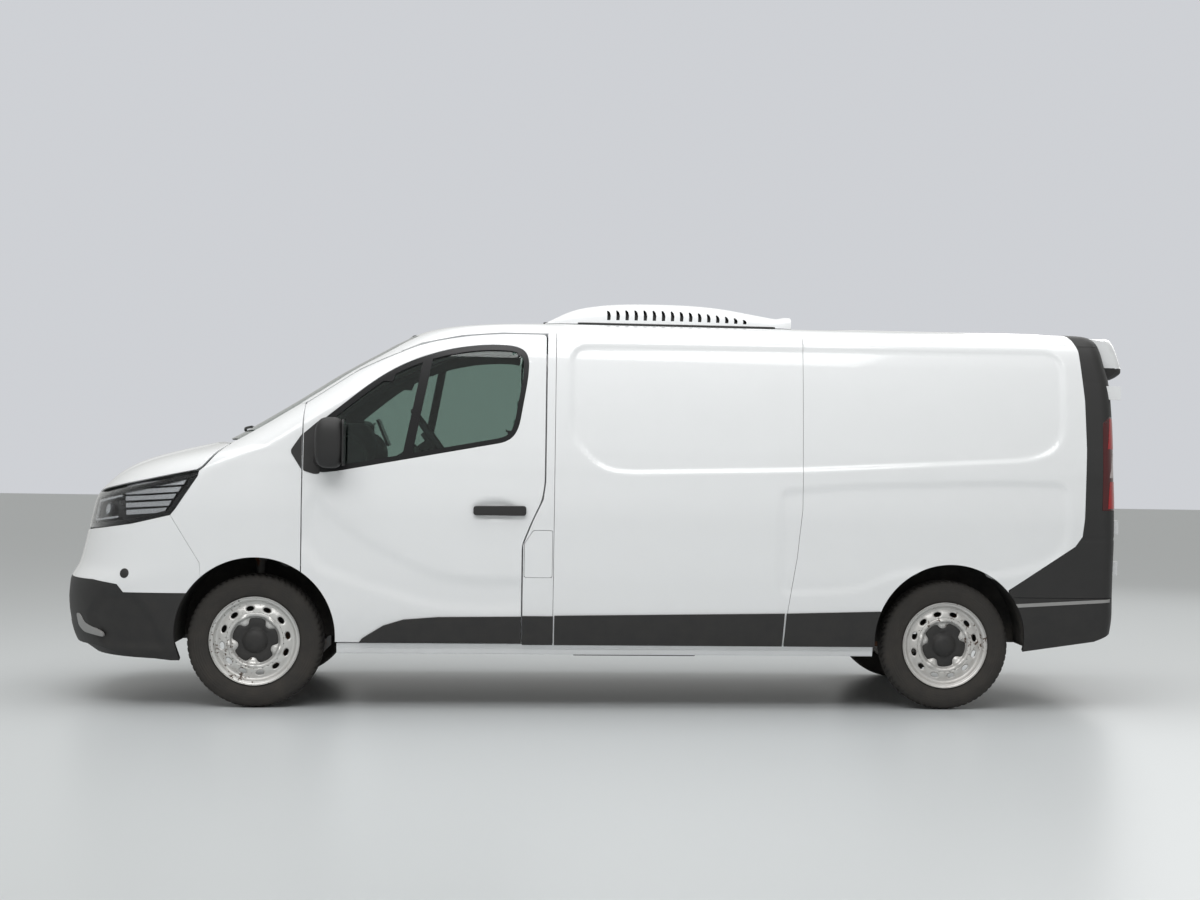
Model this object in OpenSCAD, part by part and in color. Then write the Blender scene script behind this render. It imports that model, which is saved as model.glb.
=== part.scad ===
// Refrigerated panel van, long wheelbase and low roof, with a roof-mounted cooling unit.
// Millimetres. +X is the rear, -Y the left (driver's) side, +Z up. The origin is on the ground,
// below the middle of the overall box.

/* [Overall] */
// Overall length, front bumper to the brake lamp pod
length = 5480; // [5300:10:5700]
// Width of the body without the mirrors
body_w = 1956; // [1860:4:2080]
// Height of the roof without the cooling unit
body_h = 1971; // [1930:1:2120]
// Front bumper to front axle
front_overhang = 1014; // [990:2:1040]
// Front axle to rear axle
wheelbase = 3498; // [3380:2:3560]
// Thickness of the side walls, the roof and the doors
wall = 60; // [50:1:66]

/* [Wheels] */
// Radius of the tyre
tyre_r = 334; // [310:1:345]
// Width of the tyre
tyre_w = 205; // [185:5:225]
// Distance between the middles of the front tyres
front_track = 1615; // [1590:1:1640]
// Distance between the middles of the rear tyres
rear_track = 1628; // [1600:1:1650]
// Radius of the rim's outer flange
rim_r = 220; // [205:1:225]
// Width of the rim between its flanges
rim_w = 178; // [160:1:190]
// Holes round the rim's disc
vent_holes = 12; // [8:1:14]
// Radius of the spindle that each wheel turns on
spindle_r = 24; // [20:1:30]

/* [Openings and gaps] */
// Shut gap round each moving panel
shut = 7; // [6:0.5:9]
// Seam between two fixed panels
seam = 0.6; // [0.3:0.1:0.8]
// Radius of the wheel arches
arch_r = 392; // [380:1:400]
// Height of the load floor
floor_z = 552; // [540:1:580]
// Height where the side panels stand on the sill
sill_z = 328; // [310:1:340]
// Height of the line where the sides meet the roof
roof_line = 1905; // [1895:1:1912]
// Clearance between a pin and its bore
pin_gap = 0.5; // [0.3:0.1:0.7]

/* [Cooling unit] */
// Length of the cooling unit's hood
unit_l = 1290; // [1100:10:1400]
// Width of the cooling unit's hood
unit_w = 1120; // [900:10:1200]
// Height of the hood above the roof
unit_h = 118; // [90:1:150]
// Louvre slots in each side of the hood
unit_slots = 16; // [8:1:20]

/* [Cab] */
// Diameter of the steering wheel
steering_d = 390; // [360:5:420]
// Width of the driver's seat
seat_w = 500; // [460:10:540]

/* [Hidden] */
$fn = 48;

half_w = body_w / 2;
nose_x = -length / 2;
tail_x = length / 2;
front_axle_x = nose_x + front_overhang;
rear_axle_x = front_axle_x + wheelbase;
belt_z = 1150;

// Plan sections of the body, from the bumpers' lower edge to the crown of the roof. Each row holds the height,
// the set-back from the nose, the inset of each side, the length and power of the rounding from side to nose,
// and the set-back from the tail.
SECTIONS = [
    [230, 115, 75, 560, 2.5, 130],
    [300, 36, 48, 620, 2.6, 66],
    [400, 8, 24, 650, 2.7, 40],
    [500, 0, 10, 660, 2.8, 32],
    [610, 8, 4, 660, 2.8, 34],
    [700, 50, 0, 640, 2.7, 34],
    [870, 90, 0, 620, 2.6, 30],
    [980, 112, 0, 600, 2.5, 31],
    [1045, 135, 2, 590, 2.5, 32],
    [1105, 185, 6, 580, 2.4, 33],
    [1170, 265, 11, 560, 2.3, 35],
    [1225, 390, 15, 520, 2.3, 36],
    [1270, 548, 20, 450, 2.3, 37],
    [1315, 728, 25, 390, 2.3, 38],
    [1345, 805, 29, 360, 2.4, 38],
    [1530, 1118, 56, 330, 2.5, 42],
    [1700, 1381, 86, 310, 2.5, 54],
    [1800, 1556, 108, 300, 2.5, 78],
    [1860, 1662, 128, 290, 2.5, 92],
    [1900, 1752, 152, 280, 2.6, 104],
    [1930, 1850, 186, 280, 2.6, 118],
    [1950, 1990, 235, 300, 2.6, 136],
    [1963, 2210, 330, 320, 2.6, 168],
    [1971, 2650, 560, 350, 2.4, 240]];
TABLE_H = 1971;
TAIL_ROUND = 130;
TAIL_POWER = 3;
FRONT_STEPS = 9;
TAIL_STEPS = 4;

// Heights above the belt stretch with the roof's height.
function stretch(z) = z <= belt_z ? z : belt_z + (z - belt_z) * (body_h - belt_z) / (TABLE_H - belt_z);
function column(c) = [for (r = SECTIONS) [stretch(r[0]), r[c]]];
FRONT_COLUMN = column(1);
SIDE_COLUMN = column(2);
ROUND_COLUMN = column(3);
TAIL_COLUMN = column(5);
// Nose, half width, rounding length and tail of the body at a height.
function front_at(z) = nose_x + lookup(z, FRONT_COLUMN);
function side_at(z) = half_w - lookup(z, SIDE_COLUMN);
function round_at(z) = lookup(z, ROUND_COLUMN);
function tail_at(z) = tail_x - lookup(z, TAIL_COLUMN);
// The line, seen from the side, where the windscreen meets the doors and the wings.
PILLAR_SHARE = 0.404;
function pillar_at(z) = front_at(z) + PILLAR_SHARE * round_at(z);

function corner(t, a, b, p) = [a * pow(abs(cos(t)), 2 / p), b * pow(abs(sin(t)), 2 / p)];
// Half of a plan section, from the nose's middle to the tail's middle, set in by an inset.
function half_ring(r, inset) =
    let (front = nose_x + r[1] + inset, side = half_w - r[2] - inset, tail = tail_x - r[5] - inset)
    concat(
        [for (k = [0:FRONT_STEPS]) let (c = corner(90 * k / FRONT_STEPS, r[3], side, r[4]))
            [front + r[3] - c[0], c[1]]],
        [for (k = [0:TAIL_STEPS]) let (c = corner(90 - 90 * k / TAIL_STEPS, TAIL_ROUND, side, TAIL_POWER))
            [tail - TAIL_ROUND + c[0], c[1]]]);
function ring_z(r, inset) = stretch(r[0]) - inset * min(1, max(0, (r[0] - 980) / 120));
function ring(r, inset) =
    let (half = half_ring(r, inset), n = len(half), z = ring_z(r, inset))
    concat([for (p = half) [p[0], p[1], z]], [for (k = [n - 2:-1:1]) [half[k][0], -half[k][1], z]]);

// The closed outer form of the body, or that form set in by an inset.
module body_form(inset = 0) {
    for (i = [0:len(SECTIONS) - 2]) {
        points = concat(ring(SECTIONS[i], inset), ring(SECTIONS[i + 1], inset));
        hull() polyhedron(points, [[for (k = [0:len(points) - 1]) k]]);
    }
}
module shell(thickness, inset = 0) {
    difference() {
        body_form(inset);
        body_form(inset + thickness);
    }
}
// A side view outline of X and Z points, run across the body from one Y to another.
module across(outline, y0, y1) {
    translate([0, y1, 0]) rotate([90, 0, 0]) linear_extrude(y1 - y0) polygon(outline);
}
module left_of(outline, y0 = 300) { across(outline, -half_w - 50, -y0); }
module right_of(outline, y0 = 300) { across(outline, y0, half_w + 50); }
module both_sides(outline, y0 = 300) {
    left_of(outline, y0);
    right_of(outline, y0);
}
module slab(x0, x1, y0, y1, z0, z1) {
    translate([x0, y0, z0]) cube([x1 - x0, y1 - y0, z1 - z0]);
}
module mirrored() {
    children();
    mirror([0, 1, 0]) children();
}
module rod(from, to, r) {
    d = to - from;
    translate(from) rotate([0, acos(d[2] / norm(d)), atan2(d[1], d[0])]) cylinder(r = r, h = norm(d));
}

// Side view lines that the panels share.
door_front_x = front_axle_x + 231;
door_rear_x = door_front_x + 1196;
door_foot_x = door_rear_x - 110;
b_pillar_x = door_rear_x + 50;
mid_seam_x = b_pillar_x + 1260;
trim_x = tail_x - 251;
front_arch_x = front_axle_x + 6;
rear_arch_x = rear_axle_x + 16;
arch_top_z = tyre_r + 30;
door_top_z = roof_line - shut;
door_sill_z = sill_z + shut;
// The doors' frames reach in this far below the roof.
frame_y = half_w - 238;
door_depth_at_dash = 168;
bonnet_foot_z = 1325;
screen_foot_z = 1345;
screen_head_z = roof_line - 20;
lamp_seam_z = 900;
moulding_z = 472;
bumper_step_z = 588;
cab_floor_z = 500;
nose_wall = 40;
wing_wall = 30;
glass = 6;
seal = 0.4;
far = 4000;

function grown_door(g) = [
    [front_arch_x + 300, door_sill_z - g],
    [door_foot_x + g, door_sill_z - g],
    [door_foot_x + g, 833],
    [door_rear_x - 60 + g, 959],
    [door_rear_x - 12 + g, 1060],
    [door_rear_x + g, 1150],
    [door_rear_x + g, door_top_z + g],
    [door_front_x + 972, door_top_z + g],
    [door_front_x + 774, 1880 + g],
    [door_front_x + 576 - g * 0.3, 1838 + g],
    [door_front_x + 380 - g * 0.5, 1756 + g * 0.8],
    for (z = [1700, 1600, 1530]) [pillar_at(z) - g * 0.6, z + g * 0.8],
    [door_front_x - g, 1520 + g * 0.4],
    [door_front_x - g, 500]];
// Side edge of the windscreen, seen from the side, at a height.
function screen_edge(z) = pillar_at(z) - 34;
SCREEN_Z = [screen_foot_z, 1430, 1527, 1620, 1700, 1750, 1800, 1840, screen_head_z];
WINDOW = [
    [door_front_x + 22, 1385], [door_front_x + 22, 1205], [door_front_x + 80, 1180], [door_front_x + 180, 1192],
    [door_rear_x - 185, 1350], [door_rear_x - 135, 1407], [door_rear_x - 85, 1700], [door_rear_x - 90, 1800],
    [door_rear_x - 150, 1838], [door_rear_x - 320, 1842], [door_rear_x - 520, 1808], [door_rear_x - 720, 1733],
    [door_rear_x - 865, 1641], [door_rear_x - 1025, 1508]];

// Wheel wells: the lip that the panels show, and the wider space behind it.
well_r = arch_r + 10;
well_y = 500;
rear_well_y = 640;
module well(x, r, y0, y1) {
    mirrored() translate([x, y1, 0]) rotate([90, 0, 0]) linear_extrude(y1 - y0) union() {
        translate([0, arch_top_z]) circle(r = r, $fn = 64);
        translate([-r, -100]) square([2 * r, arch_top_z + 100]);
    }
}
module arch_cuts(grow = 0) {
    well(front_arch_x, arch_r + grow, well_y, half_w + 60);
    well(rear_arch_x, arch_r + grow, rear_well_y, half_w + 60);
}
module well_cuts(grow = 0) {
    well(front_arch_x, well_r + grow, well_y - grow, half_w - wall + 10);
    well(rear_arch_x, well_r + grow, rear_well_y - grow, half_w - wall + 10);
}

/* ---- doors ---- */
module door_skin(inset, thickness, outline, grow = 0) {
    difference() {
        intersection() {
            shell(thickness, inset);
            left_of(outline);
        }
        well(front_arch_x, arch_r, well_y, half_w + 60);
        children();
    }
}
// The door's inner layer is narrower than its skin at the rear, so that it swings past the pillar.
module left_door_form() {
    door_skin(0, wall, grown_door(0)) {
        left_of(WINDOW);
        intersection() {
            left_of([[door_foot_x - 16, 200], [door_foot_x - 16, 826], [door_rear_x - 76, 952],
                [door_rear_x - 28, 1053], [door_rear_x - 16, 1150], [door_rear_x - 16, far],
                [door_rear_x + 60, far], [door_rear_x + 60, 200]]);
            body_form(20);
        }
        // Nothing of the door reaches in over the dashboard, which its front edge swings past.
        slab(nose_x, tail_x, -frame_y, 0, 1300, far);
        slab(nose_x, tail_x, -(half_w - door_depth_at_dash), 0, 1300, 1500);
    }
}
module door_glass_form() {
    difference() {
        door_skin(14, glass, WINDOW);
        slab(door_front_x, sail_x + seam, -far, far, 0, far);
    }
}
module door_trim_form() {
    // Black cladding along the foot of the door.
    difference() {
        intersection() {
            difference() {
                body_form(-8);
                body_form(0);
            }
            left_of([[door_front_x + 282, door_sill_z], [door_front_x + 282, 341], [door_front_x + 331, 376],
                [door_front_x + 404, 422], [door_front_x + 503, 453], [door_front_x + 675, 467],
                [door_foot_x, moulding_z], [door_foot_x, door_sill_z]]);
        }
    }
    // Pull handle in its scoop.
    intersection() {
        difference() {
            body_form(-26);
            body_form(0);
        }
        left_of([[door_rear_x - 353, 985], [door_rear_x - 353, 1018], [door_rear_x - 340, 1028],
            [door_rear_x - 96, 1031], [door_rear_x - 90, 1024], [door_rear_x - 90, 984],
            [door_rear_x - 100, 976], [door_rear_x - 340, 976]]);
    }
}
sail_x = door_front_x + 150;
mirror_x = door_front_x + 66;
mirror_w = 1141 - 978;
module mirror_form() {
    // Housing.
    hull() {
        translate([mirror_x + 62, -half_w - mirror_w + 40, 1236]) sphere(r = 30, $fn = 16);
        translate([mirror_x + 62, -half_w - 22, 1236]) sphere(r = 30, $fn = 16);
        translate([mirror_x + 74, -half_w - mirror_w + 42, 1425]) sphere(r = 32, $fn = 16);
        translate([mirror_x + 74, -half_w - 16, 1425]) sphere(r = 32, $fn = 16);
        translate([mirror_x + 118, -half_w - mirror_w + 34, 1232]) rotate([0, 90, 0]) cylinder(r = 26, h = 24, $fn = 16);
        translate([mirror_x + 118, -half_w - 12, 1232]) rotate([0, 90, 0]) cylinder(r = 26, h = 24, $fn = 16);
        translate([mirror_x + 118, -half_w - mirror_w + 36, 1426]) rotate([0, 90, 0]) cylinder(r = 28, h = 24, $fn = 16);
        translate([mirror_x + 118, -half_w - 4, 1426]) rotate([0, 90, 0]) cylinder(r = 28, h = 24, $fn = 16);
    }
    // Foot on the black corner of the window, and that corner.
    difference() {
        hull() {
            translate([mirror_x + 40, -half_w - 20, 1225]) cube([60, 30, 60]);
            translate([mirror_x + 10, -half_w + 60, 1215]) cube([70, 20, 90]);
        }
        body_form(2);
    }
    difference() {
        intersection() {
            shell(24, 0);
            left_of(WINDOW);
        }
        slab(sail_x, tail_x, -far, far, 0, far);
    }
}
module left_door() { color("white") left_door_form(); }
module right_door() { color("white") mirror([0, 1, 0]) left_door_form(); }
module left_door_glass() { color([0.25, 0.35, 0.33]) door_glass_form(); }
module right_door_glass() { color([0.25, 0.35, 0.33]) mirror([0, 1, 0]) door_glass_form(); }
module left_door_trim() { color([0.1, 0.1, 0.1]) door_trim_form(); }
module right_door_trim() { color([0.1, 0.1, 0.1]) mirror([0, 1, 0]) door_trim_form(); }
module left_mirror() { color([0.12, 0.12, 0.12]) mirror_form(); }
module right_mirror() { color([0.12, 0.12, 0.12]) mirror([0, 1, 0]) mirror_form(); }

/* ---- fixed panels ---- */
panel_top_z = roof_line - seam;
module panel(outline, thickness = wall) {
    difference() {
        intersection() {
            shell(thickness);
            left_of(outline);
        }
        arch_cuts();
        children();
    }
}
function mid_seam(g) = [[mid_seam_x - 87 + g, sill_z], [mid_seam_x - 67 + g, 523], [mid_seam_x - 26 + g, 777],
    [mid_seam_x + g, 1030], [mid_seam_x + g, panel_top_z]];
function middle_outline(g0, g1) = concat(
    [[b_pillar_x + g0, panel_top_z], [b_pillar_x + g0, sill_z]], mid_seam(-g1));
// Side of the corner trim, from the roof down to the wheel arch.
function trim_edge(g) = [[trim_x - 37 + g, panel_top_z], [trim_x - 26 + g, 1874], [trim_x + g, 1617], [trim_x + 6 + g, 1361],
    [trim_x - 5 + g, 1001], [trim_x - 16 + g, 909], [trim_x - 53 + g, 857], [rear_arch_x + 300 + g, 627]];
function quarter_outline() = concat(
    [for (k = [len(mid_seam(0)) - 1:-1:0]) mid_seam(seam)[k]],
    [[rear_arch_x + 200, sill_z], [rear_arch_x + 300 - seam, 500]],
    [for (k = [len(trim_edge(0)) - 1:-1:0]) trim_edge(-seam)[k]]);
module left_side_panel() { color("white") panel(middle_outline(seam, seam)); }
module left_quarter_panel() { color("white") panel(quarter_outline()); }
module sliding_door() { color("white") mirror([0, 1, 0]) panel(middle_outline(shut, shut)); }
module right_quarter_panel() { color("white") mirror([0, 1, 0]) panel(quarter_outline()); }
module b_pillars() {
    color("white") mirrored() difference() {
        intersection() {
            shell(wall);
            left_of([[door_foot_x - 20, panel_top_z], [door_foot_x - 20, sill_z], [b_pillar_x - seam, sill_z],
                [b_pillar_x - seam, panel_top_z]]);
        }
        left_of(grown_door(shut));
    }
}
module front_wings() {
    color("white") mirrored() panel([
        [door_front_x - shut, 500], [door_front_x - shut, 1527],
        [screen_edge(1527) + seam, 1527], [screen_edge(1430) + seam, 1430],
        [screen_edge(screen_foot_z) + seam, screen_foot_z],
        [nose_x + 880, bonnet_foot_z], [nose_x + 825, 1270], [nose_x + 768, 1200], [nose_x + 744, 1180],
        [nose_x + 739, 1155], [nose_x + 634, 991], [nose_x + 610, 961],
        [nose_x + 753, 727], [nose_x + 800, 600]], wing_wall);
}
function bonnet_edge() = [[nose_x + 819, 1270], [nose_x + 762, 1200], [nose_x + 738, 1184], [nose_x + 382, 1110],
    [nose_x + 230, 1075], [nose_x - 20, 1030]];
module bonnet() {
    color("white") difference() {
        intersection() {
            shell(wing_wall);
            across(concat([[nose_x - 20, bonnet_foot_z - shut], [nose_x + 880 - 2.4 * shut, bonnet_foot_z - shut]],
                [for (p = bonnet_edge()) [p[0] - shut * 0.7, p[1] + shut * 0.7]]), -far, far);
        }
        // The rear edge is a single skin, so that it lifts clear of the windscreen's foot.
        intersection() {
            body_form(8);
            slab(nose_x, tail_x, -far, far, 1245, far);
        }
    }
}
pillar_top_z = 1800;
module roof() {
    color("white") difference() {
        intersection() {
            shell(wall);
            across([[screen_edge(pillar_top_z) + seam, pillar_top_z], [screen_edge(1840) + seam, 1840],
                [screen_edge(screen_head_z) + seam, screen_head_z], [nose_x, screen_head_z], [nose_x, far],
                [far, far], [far, roof_line], [door_rear_x - 100, roof_line], [door_rear_x - 100, pillar_top_z]],
                -far, far);
        }
        mirrored() left_of(grown_door(shut), frame_y - shut);
    }
}
module windscreen() {
    color([0.25, 0.33, 0.32]) intersection() {
        shell(glass, 3);
        across(concat([[nose_x + 500, screen_foot_z + seam]],
            [for (z = SCREEN_Z) [screen_edge(z) - 3 * seam, min(screen_head_z - seam, max(screen_foot_z + seam, z))]],
            [[nose_x + 500, screen_head_z - seam]]), -far, far);
    }
}
// Windscreen pillars, scuttle, bulkhead of the engine bay and the flanges that the doors close on.
module cab_frame() {
    color([0.85, 0.86, 0.87]) {
        // Windscreen pillars.
        mirrored() difference() {
            intersection() {
                shell(wall);
                left_of(concat([for (z = [1527, 1620, 1700, 1750, pillar_top_z])
                    [screen_edge(z) + seam, z + (z == 1527 ? seam : z == pillar_top_z ? -seam : 0)]],
                    [[pillar_at(pillar_top_z) + 200, pillar_top_z - seam], [door_front_x + 40, 1527 + seam]]));
            }
            left_of(grown_door(shut + 1.5));
        }
        // Flange behind each front door's edge.
        mirrored() difference() {
            intersection() {
                shell(16, wall + seal);
                left_of(grown_door(30));
            }
            left_of(grown_door(-30));
            slab(nose_x, tail_x, -far, far, 0, sill_z + 5);
            slab(nose_x, door_rear_x - 60, -far, far, belt_z, far);
            slab(nose_x, tail_x, -far, far, 1800, far);
            well(front_arch_x, well_r + 8 + seal, well_y, half_w);
        }
        // Scuttle below the windscreen.
        difference() {
            intersection() {
                body_form(wing_wall + seal);
                slab(nose_x + 600, door_front_x, -far, far, 1180, screen_foot_z - 2);
            }
            body_form(wing_wall + 30);
        }
        // Bulkhead between the engine and the cab.
        intersection() {
            body_form(wall + 16 + 2 * seal);
            difference() {
                slab(door_front_x - 160, door_front_x - 130, -far, far, cab_floor_z - 30, 1290);
                well(front_arch_x, well_r + 8 + seal, well_y - 8 - seal, half_w);
            }
        }
    }
}
module bumper_cover() {
    color("white") difference() {
        intersection() {
            shell(nose_wall);
            across([[nose_x - 20, 632], [nose_x + 216, 632], [nose_x + 349, 614], [nose_x + 382, 575],
                [nose_x + 660, 575], [nose_x + 754 - seam, 700], [nose_x + 753 - seam, 727],
                [nose_x + 610 - seam, 961 - seam], [nose_x + 415, 914 - seam], [nose_x + 200, 880 - seam],
                [nose_x + 100, 862 - seam], [nose_x - 20, 850 - seam]], -far, far);
        }
        arch_cuts();
        slab(nose_x - 10, nose_x + 400, -grille_y, grille_y, 640, 880);
    }
}
grille_y = 420;
module grille() {
    color([0.09, 0.09, 0.1]) {
        difference() {
            intersection() {
                shell(nose_wall, 6);
                across([[nose_x - 20, 640 + seam], [nose_x + 400, 640 + seam], [nose_x + 400, 1092],
                    [nose_x + 230, 1063], [nose_x - 20, 1018]], -grille_y + seam, grille_y - seam);
            }
            for (z = [690, 756, 822, 888])
                slab(nose_x - 20, nose_x + 400, -grille_y + 40, grille_y - 40, z, z + 44);
        }
    }
}
module headlamps() {
    color([0.16, 0.17, 0.18]) mirrored() intersection() {
        shell(nose_wall, 2);
        left_of([[nose_x + 741, 1172], [nose_x + 737, 1155], [nose_x + 633, 991], [nose_x + 609, 962],
            [nose_x + 415, 915], [nose_x + 200, 881], [nose_x + 100, 863], [nose_x - 20, 851],
            [nose_x - 20, 1018], [nose_x + 230, 1063], [nose_x + 382, 1098]], grille_y + seam);
    }
}
module front_bumper() {
    color([0.13, 0.13, 0.14]) difference() {
        intersection() {
            shell(nose_wall);
            across([[nose_x - 20, 632 - seam], [nose_x + 216, 632 - seam], [nose_x + 349, 614 - seam],
                [nose_x + 382, 575 - seam], [nose_x + 660, 575 - seam], [nose_x + 660, 230], [nose_x + 610, 232],
                [nose_x + 372, 267], [nose_x + 225, 330], [nose_x - 20, 330]], -far, far);
        }
        arch_cuts();
        slab(nose_x - 10, nose_x + 300, -520, 520, 400, 520);
    }
    // Brackets to the beam behind it.
    color([0.13, 0.13, 0.14]) mirrored() slab(nose_x + 50, beam_front_x - seal, 380, 440, 535, 565);
    // Lower lip across the front.
    color([0.13, 0.13, 0.14]) intersection() {
        shell(nose_wall);
        across([[nose_x - 20, 330 - seam], [nose_x + 225, 330 - seam], [nose_x + 372, 267 - seam],
            [nose_x + 372, 232], [nose_x - 20, 232]], -far, far);
    }
}
module side_mouldings() {
    color([0.13, 0.13, 0.14]) mirrored() difference() {
        intersection() {
            difference() {
                body_form(-8);
                body_form(0);
            }
            union() {
                left_of([[door_foot_x + shut, sill_z], [door_foot_x + shut, moulding_z + 3],
                    [b_pillar_x - 1, moulding_z + 3], [b_pillar_x - 1, sill_z]]);
                left_of([[b_pillar_x + shut, sill_z], [b_pillar_x + shut, moulding_z + 6],
                    [mid_seam_x - 77 - shut, moulding_z + 26], [mid_seam_x - 87 - shut, sill_z]]);
                left_of([[mid_seam_x - 77 + 2, moulding_z + 26], [rear_arch_x, moulding_z + 44],
                    [rear_arch_x, sill_z], [mid_seam_x - 87 + 2, sill_z]]);
            }
        }
        arch_cuts();
    }
}
module sills() {
    color("white") mirrored() difference() {
        intersection() {
            body_form(14);
            slab(front_arch_x + arch_r + 6, rear_arch_x - arch_r - 6, -half_w, -half_w + 110, 276, sill_z - seam);
        }
        // Groove along the strip.
        slab(front_arch_x, rear_arch_x, -half_w, -half_w + 50, 300, 304);
    }
}

/* ---- rear ---- */
split_y = 155;
rear_axis_x = tail_x - 46;
rear_axis_y = half_w - 166;
rear_face_depth = 190;
DOOR_EDGE = [[590, 806], [1100, 806], [1400, 790], [1600, 768], [1800, 735], [1870, 700], [1892, 660]];
door_bottom_z = bumper_step_z + 12;
rear_door_top = roof_line - 13;
// Rear view outline of both doors together, grown by a gap.
function rear_outline(g) = concat(
    [for (p = DOOR_EDGE) [-p[1] * half_w / 978 - g, p[0] < 600 ? door_bottom_z - g : min(p[0], rear_door_top) + g]],
    [for (k = [len(DOOR_EDGE) - 1:-1:0]) let (p = DOOR_EDGE[k])
        [p[1] * half_w / 978 + g, p[0] < 600 ? door_bottom_z - g : min(p[0], rear_door_top) + g]]);
module rear_block(g, x0) {
    translate([x0, 0, 0]) rotate([90, 0, 90]) linear_extrude(far) polygon(rear_outline(g));
}
door_zone_x = tail_x - 330;
module rear_skin() {
    difference() {
        intersection() {
            shell(wall);
            rear_block(0, door_zone_x);
        }
        // The top of the doors stops at their own inner face.
        slab(door_zone_x - 1, tail_x - 130, -far, far, 0, far);
        // Behind its skin each door stops short of the split, so that either can swing first.
        slab(door_zone_x - 1, tail_x - 66, split_y - 18, split_y + 18, 0, far);
    }
}
HINGE_Z = [740, 955, 1660];
leaf_l = 96;
leaf_w = 60;
barrel_r = 9;
barrel_h = 70;
module door_barrels(side) {
    for (z = HINGE_Z) for (dz = [-barrel_h / 2 - 25, barrel_h / 2 + 0.5])
        translate([rear_axis_x, side * rear_axis_y, z + dz]) cylinder(r = barrel_r, h = 24.5, $fn = 24);
}
module barrel_clearance(side) {
    for (z = HINGE_Z) translate([rear_axis_x, side * rear_axis_y, z - barrel_h / 2 - 0.5])
        cylinder(r = barrel_r + 5, h = barrel_h + 1, $fn = 24);
}
module rear_door_form(y0, y1, side) {
    difference() {
        union() {
            intersection() {
                rear_skin();
                slab(door_zone_x, tail_x, y0, y1, 0, far);
            }
            door_barrels(side);
            for (z = HINGE_Z) for (dz = [-barrel_h / 2 - 25, barrel_h / 2 + 0.5])
                translate([rear_axis_x - leaf_l + 20, side * rear_axis_y - (side > 0 ? leaf_w : 0), z + dz])
                    cube([leaf_l - 24, leaf_w, 24.5]);
        }
        barrel_clearance(side);
    }
}
module left_rear_door() { color("white") rear_door_form(-far, split_y - shut / 2 - 1, -1); }
module right_rear_door() { color("white") rear_door_form(split_y + shut / 2 + 1, far, 1); }
// Body side of the rear hinges, a barrel and a leaf for each.
module hinges() {
    color("white") mirrored() for (z = HINGE_Z) difference() {
        union() {
            translate([rear_axis_x, -rear_axis_y, z - barrel_h / 2]) cylinder(r = barrel_r, h = barrel_h);
            translate([rear_axis_x - leaf_l, -rear_axis_y - leaf_w, z - barrel_h / 2])
                cube([leaf_l - 6, leaf_w, barrel_h]);
        }
        translate([rear_axis_x, -rear_axis_y, z - barrel_h]) cylinder(r = 4, h = 2 * barrel_h);
    }
}
LAMP = [[trim_x + 92, 1500], [trim_x + 130, 1535], [tail_x + 20, 1535], [tail_x + 20, 1045], [trim_x + 86, 1045],
    [trim_x + 92, 1100]];
module corner_trims() {
    color([0.12, 0.12, 0.13]) mirrored() difference() {
        intersection() {
            shell(wall);
            left_of(concat(trim_edge(0),
                [[rear_arch_x + 300, bumper_step_z + seam], [tail_x, bumper_step_z + seam],
                [tail_x, panel_top_z]]), 500);
        }
        arch_cuts();
        rear_block(shut, door_zone_x - 100);
        intersection() {
            left_of(LAMP, 845);
            shell(44, -10);
        }
        barrel_space();
    }
}
// Room round the hinges in the corner trims.
module barrel_space() {
    for (z = HINGE_Z) {
        translate([rear_axis_x, -rear_axis_y, z - barrel_h / 2 - 32])
            cylinder(r = barrel_r + 6, h = barrel_h + 64, $fn = 24);
        slab(rear_axis_x - leaf_l - seal, rear_axis_x, -rear_axis_y - leaf_w - seal, -rear_axis_y,
            z - barrel_h / 2 - seal, z + barrel_h / 2 + seal);
        slab(rear_axis_x - leaf_l, rear_axis_x + 20, -rear_axis_y - 8, -rear_axis_y + 120,
            z - barrel_h / 2 - 32, z + barrel_h / 2 + 32);
    }
}
module tail_lamps() {
    color([0.6, 0.03, 0.05]) mirrored() intersection() {
        left_of(LAMP, 845 + 0.4);
        shell(33.6, 0);
    }
}
module rear_bumper() {
    color([0.13, 0.13, 0.14]) difference() {
        union() {
            intersection() {
                shell(44);
                across([[rear_arch_x + 300, bumper_step_z], [tail_x + 10, bumper_step_z], [tail_x + 10, 397],
                    [tail_x - 197, 360], [rear_arch_x + 383, 306], [rear_arch_x + 300, 306]], -far, far);
            }
            // Brackets to the beam in front of it.
            mirrored() slab(beam_x + 40 + seal, tail_x - 70, rail_y - 30, rail_y + 30, 400, 460);
            // Loading step on top.
            intersection() {
                body_form(0);
                slab(tail_x - 170, tail_x + 10, -far, far, bumper_step_z - 22, bumper_step_z);
            }
        }
        arch_cuts();
    }
}
spoiler_y = 735;
function spoiler_outline() = [[tail_x - 118, 1890], [tail_x - 100, 1950], [tail_x - 70, 1942], [tail_x - 42, 1905],
    [tail_x, 1792], [tail_x - 5, 1768], [tail_x - 55, 1735], [tail_x - 100, 1725], [tail_x - 100, 1800]];
module spoiler_form(y0, y1) {
    difference() {
        across(spoiler_outline(), y0, y1);
        body_form(-seam);
        // The ends run back at an angle.
        mirrored() translate([tail_x - 40, -spoiler_y, 0]) rotate([0, 0, 45]) translate([0, -200, 0])
            cube([200, 200, far]);
    }
}
module brake_lamp_pod() { color("white") spoiler_form(-spoiler_y, split_y - shut / 2 - 1); }
module rear_spoiler() { color("white") spoiler_form(split_y + shut / 2 + 1, spoiler_y); }

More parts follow.
